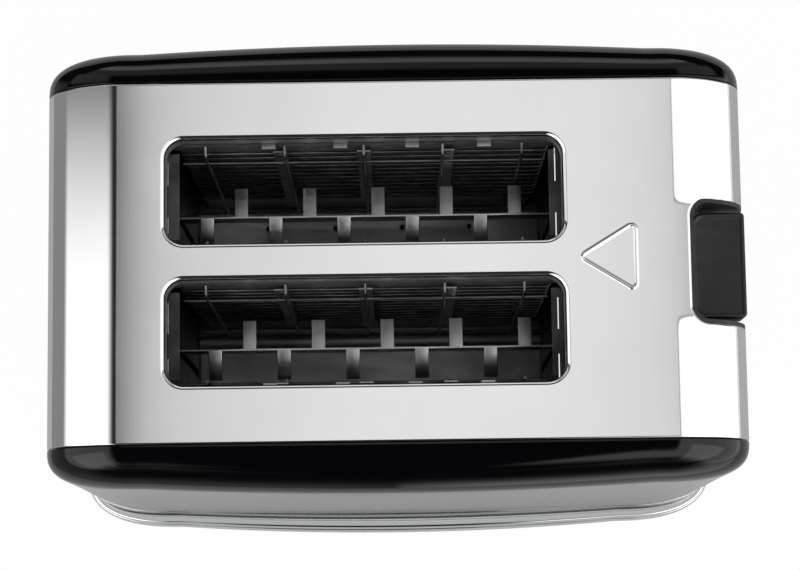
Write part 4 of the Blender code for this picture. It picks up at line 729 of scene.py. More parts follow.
def turned(name: str, centre: Pair, profile: Sequence[Pair], finish: Finish, ribs: int = 0) -> Piece:
    """Turns a closed profile about a line along X.

    Args:
        name: The piece's name.
        centre: The line's place in Y and Z.
        profile: Radius and X, step by step.
        finish: The piece's finish.
        ribs: How many shallow ribs its widest part has.

    Returns:
        The turned piece.
    """
    count = max(48, ribs * 6)
    widest, rib_depth = max(radius for radius, _ in profile), 0.3 * MM
    rings = []
    for radius, x in profile:
        ring = []
        for k in range(count):
            turn = math.tau * k / count
            cut = rib_depth * (0.5 + 0.5 * math.cos(turn * ribs)) if ribs and radius > widest * 0.9 else 0.0
            reach = radius - cut
            ring.append((x, centre[0] + reach * math.cos(turn), centre[1] + reach * math.sin(turn)))
        rings.append(ring)
    return closed_mesh(name, *joined_rings(rings, False), finish, 50.0)


def round_edge(radius: float, face: float, size: float) -> list[Pair]:
    """Rounds a turned piece's edge in six steps, from its side to its face."""
    turns = [QUARTER * k / 6 for k in range(7)]
    return [(radius - size * (1 - math.cos(turn)), face - size * (1 - math.sin(turn))) for turn in turns]


class Skin:
    """The outer side of a sheet, with a true normal at each point."""

    def __init__(self) -> None:
        """Starts an empty skin."""
        self.points: list[Vector] = []
        self.normals: list[Vector] = []
        self.faces: list[list[int]] = []

    def add(self, point: Vector, normal: Vector) -> int:
        """Adds a point and its normal, and returns its number."""
        self.points.append(point)
        self.normals.append(normal.normalized())
        return len(self.points) - 1

    def borders(self) -> list[list[int]]:
        """Finds each open edge, as point numbers in order with the sheet on their left."""
        sides = {(face[k - 1], face[k]) for face in self.faces for k in range(len(face))}
        ahead = {a: b for a, b in sides if (b, a) not in sides}
        loops = []
        while ahead:
            loop, point = [], next(iter(ahead))
            while point in ahead:
                loop.append(point)
                point = ahead.pop(point)
            loops.append(loop)
        return loops

    def roll(
        self, run: Sequence[int], into: Sequence[Vector], radius: float, collar: float, closes: bool
    ) -> None:
        """Rolls a border over and down, as a press does to a hole's edge.

        Args:
            run: The border's points in order, with the sheet on the left.
            into: At each point, the direction away from the sheet.
            radius: The radius of the roll.
            collar: How far the edge goes on down after the roll.
            closes: Whether the border is a loop.
        """
        steps = 8
        levels = [(QUARTER * k / steps, 0.0) for k in range(1, steps + 1)]
        if collar:
            levels.append((QUARTER, collar))
        last = list(run)
        for turn, drop in levels:
            ring = []
            for index, away in zip(run, into):
                normal = self.normals[index]
                down = radius * (1 - math.cos(turn)) + drop
                point = self.points[index] + away * radius * math.sin(turn) - normal * down
                ring.append(self.add(point, normal * math.cos(turn) + away * math.sin(turn)))
            for k in range(len(run) if closes else len(run) - 1):
                after = (k + 1) % len(run)
                self.faces.append([last[after], last[k], ring[k], ring[after]])
            last = ring

    def body(self, name: str, thickness: float, finish: Finish) -> Piece:
        """Gives the skin its thickness.

        Args:
            name: The object's name.
            thickness: The sheet's thickness.
            finish: Its finish.

        Returns:
            The closed sheet, shaded by its true normals.
        """
        count = len(self.points)
        inner = [point - normal * thickness for point, normal in zip(self.points, self.normals)]
        points = self.points + inner
        faces = [list(face) for face in self.faces]
        shades = [[self.normals[index] for index in face] for face in faces]
        for face in self.faces:
            faces.append([index + count for index in reversed(face)])
            shades.append([-self.normals[index] for index in reversed(face)])
        for loop in self.borders():
            for a, b in zip(loop[-1:] + loop, loop):
                across = (points[a] - points[b]).cross(points[a + count] - points[a]).normalized()
                faces.append([b, a, a + count, b + count])
                shades.append([across] * 4)
        mesh = bpy.data.meshes.new(name)
        mesh.from_pydata(points, [], faces)
        mesh.shade_smooth()
        mesh.normals_split_custom_set([shade for face in shades for shade in face])
        return link_mesh(name, mesh, finish)


@dataclass
class SteelBand:
    """The polished band over the top and down both ends, rolled round the slots and the notch."""

    sheet: float = 0.0008
    edge_roll: float = 0.0007
    edge_collar: float = 0.4 * MM
    slot_length: float = 0.1468
    slot_width: float = 0.0413
    slot_middle: float = -0.0112
    slot_corner: float = 0.0084
    rim_roll: float = 0.0016
    collar: float = 0.0085
    notch_length: float = 0.0234
    notch_width: float = 0.0470
    notch_corner: float = 0.0075
    notch_middle: float = -0.0016
    notch_foot: float = 0.0300
    notch_roll: float = 0.0011
    land_side: Pair = (-3.8 * MM, 1.5 * MM)
    land_start: float = 1 * MM
    land_end: float = 15 * MM
    land_lines: float = 0.7 * MM
    shoulder_steps: int = 48

    @property
    def flat(self) -> float:
        """Half the length of the flat top."""
        return HALF_LENGTH - SHOULDER

    @property
    def arc(self) -> float:
        """The length of sheet in one shoulder."""
        return SHOULDER * math.pi / 2

    @property
    def run(self) -> float:
        """Half the length of the whole sheet before bending."""
        return self.flat + self.arc + TOP - SHOULDER - BODY_FOOT

    def run_at(self, x: float) -> float:
        """Turns a place along the body, seen from above, into a place along the sheet."""
        past = min(abs(x) - self.flat, SHOULDER)
        return x if past <= 0 else math.copysign(self.flat + SHOULDER * math.asin(past / SHOULDER), x)

    def bent(self, run: float, y: float) -> tuple[Vector, Vector, Vector]:
        """Bends a point of the flat sheet over the shoulders.

        Args:
            run: The place along the sheet, from its middle.
            y: The place across it.

        Returns:
            The point, its normal and the direction along the sheet.
        """
        side, past = math.copysign(1.0, run), abs(run) - self.flat
        turn = min(max(past, 0.0) / SHOULDER, QUARTER)
        x = min(abs(run), self.flat) + SHOULDER * math.sin(turn)
        z = TOP - SHOULDER * (1 - math.cos(turn)) - max(past - self.arc, 0.0)
        point = Vector((side * x, y, z))
        # The press draws the sheet flat beside the notch, so there the normals stay upright longer before
        # they turn with the shoulder; the points keep the plain shoulder.
        if side > 0:
            reach = abs(y - self.notch_middle) - self.notch_width / 2
            beside = 1 - smooth_share(reach, *self.land_side)
            start = HALF_LENGTH - self.notch_length + self.land_start
            turn *= 1 - beside * (1 - smooth_share(x, start, HALF_LENGTH - self.land_end))
        normal = Vector((side * math.sin(turn), 0.0, math.cos(turn)))
        return point, normal, Vector((math.cos(turn), 0.0, -side * math.sin(turn)))

    def notch_outline(self) -> list[Pair]:
        """The lever notch on the flat sheet, before bending."""
        half, left = self.notch_width / 2, HALF_LENGTH - self.notch_length
        foot = self.flat + self.arc + TOP - SHOULDER - self.notch_foot
        low, high = (left, self.notch_middle - half), (left + self.notch_corner * 2, self.notch_middle + half)
        plan = rounded_box(low, high, [self.notch_corner, 0.0, 0.0, self.notch_corner], 14)
        return [(foot if x == high[0] else self.run_at(x), y) for x, y in plan]

    def slot_outline(self, centre_y: float) -> list[Pair]:
        """A bread slot in the flat top."""
        half_x, half_y = self.slot_length / 2, self.slot_width / 2
        low = (self.slot_middle - half_x, centre_y - half_y)
        return rounded_box(low, (self.slot_middle + half_x, centre_y + half_y), [self.slot_corner] * 4, 16)

    def skin(self) -> Skin:
        """Cuts, bends and rolls the sheet, and returns its outer side."""
        half = HALF_BAND - self.edge_roll
        bends = [self.flat + self.arc * k / self.shoulder_steps for k in range(self.shoulder_steps + 1)]
        bends = sorted([-bend for bend in bends] + bends)
        points = [(bend, -half) for bend in bends] + [(bend, half) for bend in bends]
        corners = [(-self.run, -half), (self.run, -half), (self.run, half), (-self.run, half)]
        edges = [(k, k + len(bends)) for k in range(len(bends))]
        # Lines along the sheet beside the notch carry the bend from the flat land to the shoulder.
        for k in range(-6, 5):
            reach = self.notch_width / 2 + k * self.land_lines
            for y in (self.notch_middle - reach, self.notch_middle + reach):
                edges.append((len(points), len(points) + 1))
                points += [(self.flat, y), (self.flat + self.arc / 2, y)]
        holes = [self.slot_outline(y) for y in SLOT_CENTRES] + [self.notch_outline()]
        for loop in [corners, *holes]:
            start = len(points)
            edges += [(start + k, start + (k + 1) % len(loop)) for k in range(len(loop))]
            points += loop
        # The triangulation works in millimetres.
        scale = 1000.0
        flat, _, triangles, *_ = delaunay_2d_cdt([Vector(p) * scale for p in points], edges, [], 0, 1e-6)
        flat = [point / scale for point in flat]
        skin = Skin()
        along = []
        for point in flat:
            place, normal, direction = self.bent(point.x, point.y)
            skin.add(place, normal)
            along.append(direction)
        for face in triangles:
            a, b, c = (flat[index] for index in face)
            if not any(inside((a + b + c) / 3, hole) for hole in holes):
                skin.faces.append(list(face) if (b - a).cross(c - a) > 0 else list(reversed(face)))
        for loop in skin.borders():
            self.roll_border(skin, loop, flat, along)
        return skin

    def roll_border(self, skin: Skin, loop: list[int], flat: list[Vector], along: list[Vector]) -> None:
        """Rolls a slot's rim, the notch's edge or the two long sides.

        Args:
            skin: The skin that grows.
            loop: The border's points.
            flat: Every point on the flat sheet.
            along: At each point, the direction along the sheet.
        """
        edge = HALF_BAND - self.edge_roll - 0.01 * MM
        if max(abs(flat[index].y) for index in loop) > edge:
            for side in (1, -1):
                run = [index for index in loop if side * flat[index].y > edge]
                run.sort(key=lambda index: -side * flat[index].x)
                skin.roll(run, [Vector((0.0, side, 0.0))] * len(run), self.edge_roll, self.edge_collar, False)
            return
        into = []
        for k, index in enumerate(loop):
            before, here, after = flat[loop[k - 1]], flat[index], flat[loop[(k + 1) % len(loop)]]
            away = Vector((0.0, 0.0))
            for way in ((here - before).normalized(), (after - here).normalized()):
                away += Vector((way.y, -way.x))
            away.normalize()
            into.append((along[index] * away.x + Vector((0.0, away.y, 0.0))).normalized())
        is_slot = sum(flat[index].x for index in loop) / len(loop) < self.flat - self.notch_length
        radius = self.rim_roll if is_slot else self.notch_roll
        skin.roll(loop, into, radius, self.collar - radius if is_slot else 0.0, True)

    def triangle(self) -> Piece:
        """Makes the plain triangular bead pressed in the top beside the slots."""
        apex, base, half_base, radius, bead, rise = 0.0689, 0.0848, 0.0098, 0.0016, 0.0009, 0.0004
        steps, sides = 12, 20
        corners = [Vector((apex, 0.0)), Vector((base, -half_base)), Vector((base, half_base))]
        rings = []
        for k, centre in enumerate(corners):
            arriving, leaving = centre - corners[k - 1], corners[(k + 1) % 3] - centre
            start = math.atan2(-arriving.x, arriving.y)
            sweep = (math.atan2(-leaving.x, leaving.y) - start) % math.tau
            for step in range(steps + 1):
                turn = start + sweep * step / steps
                ring = []
                for side in range(sides):
                    roll = math.tau * side / sides
                    reach = radius + bead * math.cos(roll)
                    x, y = centre.x + reach * math.cos(turn), centre.y + reach * math.sin(turn)
                    ring.append((x, y, TOP + rise * math.sin(roll)))
                rings.append(ring)
        return closed_mesh("raised_triangle", *joined_rings(rings, True), STAINLESS, 80.0)

    def build(self) -> None:
        """Builds the band and its plain raised triangle."""
        piece = self.skin().body("steel_band_sheet", self.sheet, STAINLESS)
        place_piece(piece, STAINLESS, Body.SHELL, "steel_band")
        place_piece(self.triangle(), STAINLESS, Body.SHELL)


@dataclass
class Sides:
    """The black side panels and the chrome skirt, which share one outline."""

    depth: float = 0.0148
    bulge: float = 0.0027
    draft: float = 0.0034
    corner: float = 0.0360
    crown: float = 0.0200
    wall: float = 0.0022
    squareness: float = 2.75
    crown_squareness: float = 2.0
    skirt_squareness: float = 2.5
    skirt_flare: float = 0.0049
    skirt_side_flare: float = 0.0043
    skirt_bulge: float = 0.0009
    skirt_wall: float = 0.0026
    skirt_foot: float = 0.0040
    columns: int = 24
    tray_gap: float = 1.1 * MM

    @property
    def straight(self) -> float:
        """Half the length of a side between its corners."""
        return HALF_LENGTH - self.corner

    @property
    def across(self) -> list[float]:
        """The places of the columns along the straight part."""
        return [-self.straight + 2 * self.straight * k / self.columns for k in range(self.columns + 1)]

    def shares(self, steps: int, squareness: float) -> list[Pair]:
        """How far out and along a rounded corner goes, as shares, step by step."""
        outs = [min(1.0, math.sin(QUARTER * k / steps)) for k in range(steps + 1)]
        return [(out, (1.0 - out**squareness) ** (1.0 / squareness)) for out in outs]

    def standing(self, x: float, depth: float, bulge: float) -> float:
        """How far a side stands out at a place along the body."""
        return depth + bulge * (1 - min(abs(x) / self.straight, 1.0) ** 2)

    def panel_point(self, x: float, z: float, side: int, share: tuple[float, float, float]) -> Vector:
        """A point of a panel between the band's edge and its flat side.

        Args:
            x: The place of the band's edge along the body.
            z: Its height.
            side: One for the rear panel, minus one for the front.
            share: How far out, along and up the point lies.

        Returns:
            The point.
        """
        out, along_x, along_z = share
        face_top = TOP - self.crown
        face_x, face_z = max(-self.straight, min(self.straight, x)), min(z, face_top)
        spread = self.draft * ((face_top - face_z) / (face_top - BODY_FOOT)) ** 2
        depth = self.standing(face_x, self.depth, self.bulge) + spread
        y = HALF_BAND + CLEARANCE + (depth - CLEARANCE) * out
        return Vector((face_x + (x - face_x) * along_x, side * y, face_z + (z - face_z) * along_z))

    def edge_profile(self) -> list[Pair]:
        """The band's edge from its left foot over the top to its right foot."""
        centre_x, centre_z = HALF_LENGTH - SHOULDER, TOP - SHOULDER
        ups, turns, tops = 12, 28, 5
        left = [(-HALF_LENGTH, BODY_FOOT + (centre_z - BODY_FOOT) * k / ups) for k in range(ups)]
        for k in range(turns + 1):
            turn = QUARTER * k / turns
            left.append((-centre_x - SHOULDER * math.cos(turn), centre_z + SHOULDER * math.sin(turn)))
        left += [(-centre_x + (centre_x - self.straight) * k / tops, TOP) for k in range(1, tops + 1)]
        return left + [(x, TOP) for x in self.across[1:-1]] + [(-x, z) for x, z in reversed(left)]

    def panel(self, name: str, side: int) -> Piece:
        """Makes one pillowed panel with its wall.

        Args:
            name: The object's name.
            side: One for the rear panel, minus one for the front.

        Returns:
            The panel.
        """
        outer, face_top = self.edge_profile(), TOP - self.crown
        pairs = [(0.0, 1.0, 1.0), (0.012, 1.0, 1.0)]
        corner, crown = self.shares(26, self.squareness), self.shares(26, self.crown_squareness)
        pairs += [(out, x, z) for (out, x), (_, z) in zip(corner[1:], crown[1:])]
        work = bmesh.new()
        lay_net(work, [[self.panel_point(x, z, side, share) for x, z in outer] for share in pairs])
        rows = [z for _, z in outer[: len(outer) // 2] if z < face_top - 0.01 * MM] + [face_top]
        flat = (1.0, 0.0, 0.0)
        lay_net(work, [[self.panel_point(x, z, side, flat) for z in rows] for x in self.across])
        bmesh.ops.remove_doubles(work, verts=work.verts, dist=0.002 * MM)
        bmesh.ops.dissolve_degenerate(work, edges=work.edges, dist=0.002 * MM)
        bmesh.ops.recalc_face_normals(work, faces=work.faces)
        work.normal_update()
        outward = sum(face.normal.y * face.calc_area() for face in work.faces)
        if outward * side < 0:
            bmesh.ops.reverse_faces(work, faces=work.faces)
        mesh = bpy.data.meshes.new(name)
        work.to_mesh(mesh)
        work.free()
        mesh.shade_smooth()
        piece = link_mesh(name, mesh, GLOSS_ABS)
        wall = piece.modifiers.new("wall", "SOLIDIFY")
        wall.thickness = self.wall
        wall.offset = -1
        return piece

    def outline(self, share: float, inset: float = 0.0) -> list[Pair]:
        """The skirt's outline seen from above, anticlockwise from the right front.

        Args:
            share: How far the skirt has flared, from zero to one.
            inset: How far the outline is drawn in.

        Returns:
            The outline's points.
        """
        grow_x = self.skirt_flare * share - inset
        grow_y = self.draft + self.skirt_side_flare * share - inset
        squareness = self.squareness + (self.skirt_squareness - self.squareness) * share
        quarter = []
        for out, along in self.shares(22, squareness):
            x = self.straight + (self.corner + grow_x) * along
            quarter.append((x, HALF_BAND + (self.depth + grow_y) * out))
        bulge = self.bulge + self.skirt_bulge * share
        across = [-x for x in self.across[1:-1]]
        rear = quarter + [(x, HALF_BAND + self.standing(x, self.depth + grow_y, bulge)) for x in across]
        rear += [(-x, y) for x, y in reversed(quarter)]
        return rear + [(-x, -y) for x, y in rear]

    def skirt(self) -> Piece:
        """Makes the chrome ring with its flared foot and two beads."""
        flares = (0.04, 0.12, 0.30, 0.50, 0.64, 0.74, 0.70, 0.84, 1.00, 0.96)
        heights = (1.00, 0.84, 0.70, 0.61, 0.60, 0.50, 0.37, 0.36, 0.20, 0.00)
        profile = list(zip(flares, heights))
        for _ in range(2):
            cut = [profile[0]]
            for (f0, h0), (f1, h1) in zip(profile, profile[1:]):
                cut += [(f0 * 0.75 + f1 * 0.25, h0 * 0.75 + h1 * 0.25)]
                cut += [(f0 * 0.25 + f1 * 0.75, h0 * 0.25 + h1 * 0.75)]
            profile = cut + [profile[-1]]
        top, foot = BODY_FOOT - CLEARANCE, self.skirt_foot
        rings = []
        for share, height in profile:
            z = foot + (top - foot) * height
            rings.append([(x, y, z) for x, y in self.outline(share)])
        inner = self.outline(0.0, self.skirt_wall)
        rings += [[(x, y, z) for x, y in inner] for z in (foot, top)]
        return closed_mesh("chrome_skirt", *joined_rings(rings, True), CHROME, 50.0)

    def build(self) -> None:
        """Builds both panels and the skirt, which opens for the crumb tray."""
        place_piece(self.panel("rear_side_panel", 1), GLOSS_ABS, Body.SHELL, "rear_panel")
        place_piece(self.panel("front_side_panel", -1), GLOSS_ABS, Body.SHELL, "front_panel")
        ring, gap = self.skirt(), self.tray_gap
        low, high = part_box("crumb_tray")
        near = (low[0] - 20 * MM, low[1] - gap, low[2] - CLEARANCE)
        far = (low[0] + 30 * MM, high[1] + gap, high[2] + gap)
        cutter = closed_mesh("tray_opening", box_points(near, far), BOX_FACES, CHROME)
        ring.modifiers.new("tray_opening", "BOOLEAN").object = cutter
        ring.data = evaluated(ring)
        bpy.data.objects.remove(cutter)
        place_piece(ring, CHROME, Body.SHELL, "base_skirt")


@dataclass
class LeverEnd:
    """The lever paddle at the right end."""

    left: float = 0.10805
    length: float = 0.0198
    width: float = 0.0388
    middle: float = -0.0016
    top: float = 0.1726
    near_corner: float = 4.8 * MM
    far_corner: float = 1.6 * MM

    def paddle(self) -> Piece:
        """Makes the wide flat lever with its thin raised edge."""
        # Millimetres in from the outline and up from the rim, from the underside to the dished top.
        insets = (1.6, 0.9, 0.3, 0.0, 0.0, 0.1, 0.3, 0.55, 1.1, 1.3, 1.42, 1.6, 1.9)
        drops = (-14.0, -13.9, -13.4, -12.6, -0.6, -0.25, -0.06, 0.0, 0.0, -0.06, -0.2, -0.46, -0.5)
        right, half = self.left + self.length, self.width / 2
        rings = []
        for inset, drop in zip((share * MM for share in insets), (share * MM for share in drops)):
            low = (self.left + inset, self.middle - half + inset)
            high = (right - inset, self.middle + half - inset)
            near, far = self.near_corner - inset, max(self.far_corner - inset, 0.5 * MM)
            outline = rounded_box(low, high, [near, far, far, near], 10)
            rings.append([(x, y, self.top + drop) for x, y in outline])
        return closed_mesh("lever_plate", *joined_rings(rings, False), SATIN_ABS, 60.0)

    def build(self) -> None:
        """Builds the paddle."""
        place_piece(self.paddle(), SATIN_ABS, Body.CARRIAGE, "lever_paddle")


@dataclass
class HeatingBoards:
    """The four mica boards' heating wires and the rivets of their straps."""

    half_length: float = 0.0669
    middle: float = -0.0112
    top: float = 0.1756
    height: float = 0.1120
    ear: float = 0.0070
    tail: float = 0.0690
    pitch: float = 0.0082
    loops: int = 12
    steps: int = 10
    offset: float = 0.0011
    wire: float = 0.0004
    strap_pitch: float = 0.0308
    strap_face: float = 0.0026
    rivet_drops: Pair = (0.0065, 0.0190)
    rivet: float = 1.1 * MM
    rivet_rise: float = 0.5 * MM
    # Each board's name, its place across the body and the side that its winding faces.
    places: tuple[tuple[str, float, int], ...] = (
        ("element_rear", 0.0448, -1),
        ("element_rear_inner", 0.0064, 1),
        ("element_front_inner", -0.0064, -1),
        ("element_front", -0.0448, 1),
    )

    def path(self, y: float, front: int) -> list[Vector]:
        """The wire's unbroken run from the upper ear round the board to the lower one."""
        first = self.top - self.height / 2 + self.pitch * (self.loops - 1) / 2
        tail_x, start = self.middle + self.tail, self.top - self.ear - CLEARANCE
        points = [(tail_x, y, start), (tail_x, y, start - 3 * self.wire)]
        for loop in range(self.loops):
            z = first - self.pitch * loop
            for side in (1, -1):
                for k in range(self.steps + 1):
                    turn = math.pi * k / self.steps
                    x = self.middle + side * (self.half_length + self.offset * math.sin(turn))
                    rise = (1 - k / self.steps) / 8 if side > 0 else -k / self.steps / 8
                    points.append((x, y - side * front * self.offset * math.cos(turn), z + self.pitch * rise))
        last = points[-1][2] - self.pitch / 4
        points.append((self.middle + self.half_length, y - front * self.offset, last))
        foot = self.top - self.height + self.ear + CLEARANCE
        points += [(tail_x, y, foot + 3 * self.wire), (tail_x, y, foot)]
        return [Vector(point) for point in points]

    def build(self) -> None:
        """Builds the windings and the rivets."""
        for name, y, front in self.places:
            piece = WIRES.run(name + "_wire", [self.path(y, front)], HEATING_WIRE, self.wire, sides=10)
            place_piece(piece, HEATING_WIRE, Body.SHELL, name + "_winding")
            face = y + front * (self.strap_face + 0.1 * MM)
            xs = [self.middle + self.strap_pitch * k for k in (-1, 0, 1)]
            spots = [[(x, face, self.top - down)] for x in xs for down in self.rivet_drops]
            piece = RIVETS.run(name + "_rivets", spots, GUARD_WIRE, self.rivet, self.rivet_rise, 24)
            place_piece(piece, GUARD_WIRE, Body.SHELL)


@dataclass
class BreadGuards:
    """The four hinged wire frames that keep the bread off the boards."""

    wire: float = 0.0006
    pitch: float = 0.0289
    middle: float = -0.01119
    pivot_z: float = 0.0576
    rise: float = 0.0026
    cross_drop: float = 0.0090
    end_gap: float = 0.0050
    past: float = 0.0014
    bend: float = 1.8 * MM
    # Each guard's name, its place across the body, its hook's reach and its depth under the top.
    places: tuple[tuple[str, float, float, float], ...] = (
        ("guard_rear_back", 0.0398, 0.0042, 0.0120),
        ("guard_rear_front", 0.0096, 0.0, 0.0200),
        ("guard_front_back", -0.0114, 0.0042, 0.0120),
        ("guard_front_front", -0.0416, 0.0, 0.0200),
    )

    def build(self) -> None:
        """Builds each frame from bent wires."""
        left, right = CHAMBER_LEFT, CHAMBER_RIGHT
        for name, y, hook, depth in self.places:
            high = TOP - depth
            paths = [[(left - self.past, y, self.pivot_z), (right + self.past, y, self.pivot_z)]]
            cross = high - self.cross_drop
            paths.append([(left + self.end_gap, y, cross), (right - self.end_gap, y, cross)])
            for x in (self.middle + self.pitch * k for k in range(-2, 3)):
                corners = [(x, y, self.pivot_z), (x, y, high), (x, y + hook, high + self.rise)]
                paths.append(eased(corners, self.bend))
            piece = WIRES.run(name + "_wires", paths, GUARD_WIRE, self.wire, sides=14)
            place_piece(piece, GUARD_WIRE, name + "_body", name)


@dataclass
class Works:
    """The spring, the coil, the carriage and the other pieces inside and below."""

    rod: Pair = (0.0700, 0.0140)
    spring_radius: float = 0.0040
    spring_wire: float = 0.00045
    spring_low: float = 0.0243
    spring_high: float = 0.1162
    coils: int = 14
    keep: float = 0.162
    coil_wire: float = 0.3 * MM
    coil_corner: float = 1.2 * MM
    fold_left: Pair = (-0.1 * MM, -2.2 * MM)
    fold_width: float = 0.4 * MM
    fold_rise: float = 0.3 * MM
    fold_spans: tuple[Pair, ...] = (
        (0.0084, 0.0180),
        (0.0297, 0.0430),
        (-0.0247, -0.0133),
        (-0.0425, -0.0338),
    )
    # Each softened node's finish, body and width of rounding in millimetres.
    soft_nodes = {
        "carrier_rear": (BRIGHT_ZINC, Body.CARRIAGE, 0.3),
        "carrier_front": (BRIGHT_ZINC, Body.CARRIAGE, 0.3),
        "carriage_bracket": (ZINC, Body.CARRIAGE, 0.3),
        "chamber_floor": (PASSIVATED_ZINC, Body.SHELL, 0.2),
        # The end plates take the zinc that is darkened as painted shade.
        "end_plate_left": (SHADE_DARKENED_ZINC, Body.SHELL, 0.15),
        "end_plate_right": (SHADE_DARKENED_ZINC, Body.SHELL, 0.15),
        "crumb_tray": (ZINC, Body.TRAY, 0.3),
        "cord_gland": (MATTE_NYLON, Body.SHELL, 0.6),
        "foot_rear_right": (RUBBER, Body.SHELL, 0.7),
        "foot_rear_left": (RUBBER, Body.SHELL, 0.7),
        "foot_front_left": (RUBBER, Body.SHELL, 0.7),
        "foot_front_right": (RUBBER, Body.SHELL, 0.7),
    }

    def spring(self) -> None:
        """Winds the return spring, with close end coils."""
        steps, path = 28, []
        low, high = self.spring_low + self.spring_wire, self.spring_high - self.spring_wire
        for k in range(steps * (self.coils + 2) + 1):
            turn = math.tau * k / steps
            share = min(1.0, max(0.0, (k - steps) / (steps * self.coils)))
            wrap = 2.2 * self.spring_wire * (min(k / steps, 1.0) + max(0.0, k / steps - self.coils - 1))
            z = low + wrap + (high - low - 4.4 * self.spring_wire) * share
            x, y = self.spring_radius * math.cos(turn), self.spring_radius * math.sin(turn)
            path.append((self.rod[0] + x, self.rod[1] + y, z))
        piece = WIRES.run("return_spring_wire", [path], NICKEL_WIRE, self.spring_wire, sides=12)
        place_piece(piece, NICKEL_WIRE, Body.SHELL, "return_spring")
        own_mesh(piece)

    def coil(self) -> None:
        """Winds the magnet's coil over the place of its CAD node."""
        low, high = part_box("magnet_coil")
        wire, path = self.coil_wire, []
        for turn in range(int((high[2] - low[2]) / (2 * wire)) - 1):
            near, far = (low[0] + wire, low[1] + wire), (high[0] - wire, high[1] - wire)
            loop = rounded_box(near, far, [self.coil_corner] * 4, 6)
            for k, (x, y) in enumerate(loop):
                path.append((x, y, low[2] + wire + 2 * wire * (turn + k / len(loop))))
        place_piece(WIRES.run("magnet_winding", [path], COPPER, wire * 1.08, sides=8), COPPER, Body.SHELL)

    def fold_edges(self) -> None:
        """Lays the bright cut edges on the end plates' folds, with a gap where the carrier passes."""
        points, sides, low_z = [], [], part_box("end_plate_left")[1][2]
        for left in (CHAMBER_LEFT + self.fold_left[0], CHAMBER_RIGHT + self.fold_left[1]):
            for near, far in self.fold_spans:
                sides += [[len(points) + k for k in face] for face in BOX_FACES]
                high = (left + self.fold_width, far, low_z + self.fold_rise)
                points += box_points((left, near, low_z), high)
        place_piece(closed_mesh("fold_edges", points, sides, CHROME), CHROME, Body.SHELL)

    def build(self, frame: dict) -> None:
        """Builds the works over the loaded frame."""
        self.spring()
        self.coil()
        self.fold_edges()
        for node, (finish, body, width) in self.soft_nodes.items():
            softened(frame, node, finish, body, width * MM)


@dataclass
class Controls:
    """The turned buttons and the ribbed dial on the right end."""

    middle: float = -0.0016
    button_z: float = 0.0700
    button_radius: float = 0.0044
    button_pitch: float = 0.0138
    button_round: float = 0.7 * MM
    stem: float = 1.6 * MM
    flange: float = 5.7 * MM
    flange_x: Pair = (0.12432, 0.12572)
    dial_z: float = 0.0470
    dial_radius: float = 0.0140
    dial_back: float = 0.1286
    dial_stand: float = 0.0032
    dial_round: float = 0.8 * MM
    shaft: float = 3.3 * MM
    grip_half: float = 1.6 * MM

    def button(self, name: str, y: float) -> None:
        """Makes one button with a dished face and a rounded edge."""
        low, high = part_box(name)
        radius, outer, (back, front) = self.button_radius, high[0], self.flange_x
        profile = [(self.stem, low[0]), (self.stem, back), (self.flange, back), (self.flange, front)]
        profile += [(radius, front), *round_edge(radius, outer, self.button_round)]
        profile += [(radius - 1.1 * MM, outer - 0.05 * MM), (radius - 2.2 * MM, outer - 0.25 * MM)]
        profile += [(0.2 * MM, outer - 0.4 * MM)]
        piece = turned(name + "_cap", (y, self.button_z), profile, SATIN_ABS)
        place_piece(piece, SATIN_ABS, name + "_body", name)

    def dial(self) -> None:
        """Makes the ribbed dial with its grip bar."""
        back, front, radius = self.dial_back, self.dial_back + self.dial_stand, self.dial_radius
        profile = [(self.shaft, back + 3.0 * MM), (self.shaft, back), (radius - 0.3 * MM, back)]
        profile += [(radius, back + 0.3 * MM), *round_edge(radius, front, self.dial_round)]
        face = front - 0.3 * MM
        profile += [(radius - 2.4 * MM, front), (radius - 2.8 * MM, face), (0.2 * MM, face)]
        knob = turned("browning_knob", (self.middle, self.dial_z), profile, SATIN_ABS, ribs=36)
        place_piece(knob, SATIN_ABS, Body.DIAL, "browning_dial")
        rings, half, reach = [], self.grip_half, radius - self.grip_half
        # The grip's outline draws in, in millimetres, as it rises above the dial's face.
        for inset, rise in ((0.0, -1.2), (0.0, 0.7), (0.35, 1.1), (0.8, 1.2)):
            inset, x = inset * MM, front + rise * MM
            low = (self.middle - half + inset, self.dial_z - reach + inset)
            high = (self.middle + half - inset, self.dial_z + reach - inset)
            rings.append([(x, y, z) for y, z in rounded_box(low, high, [1.5 * MM - inset] * 4, 8)])
        grip = closed_mesh("browning_grip", *joined_rings(rings, False), SATIN_ABS, 50.0)
        place_piece(grip, SATIN_ABS, Body.DIAL)

    def build(self) -> None:
        """Builds the buttons and the dial."""
        for name, k in (("button_cancel", -1), ("button_reheat", 0), ("button_defrost", 1)):
            self.button(name, self.middle + self.button_pitch * k)
        self.dial()


@dataclass(frozen=True)
class Softbox:
    """A bright window of the studio, seen only as light and in reflections.

    Its place is given by the angle of roll about the body's Y axis, in degrees from straight
    up towards +X, and by the sine of the angle towards +Y.
    """

    roll: Pair
    lean: Pair
    strength: float
    roll_edge: float = 2.0
    lean_edge: float = 0.06


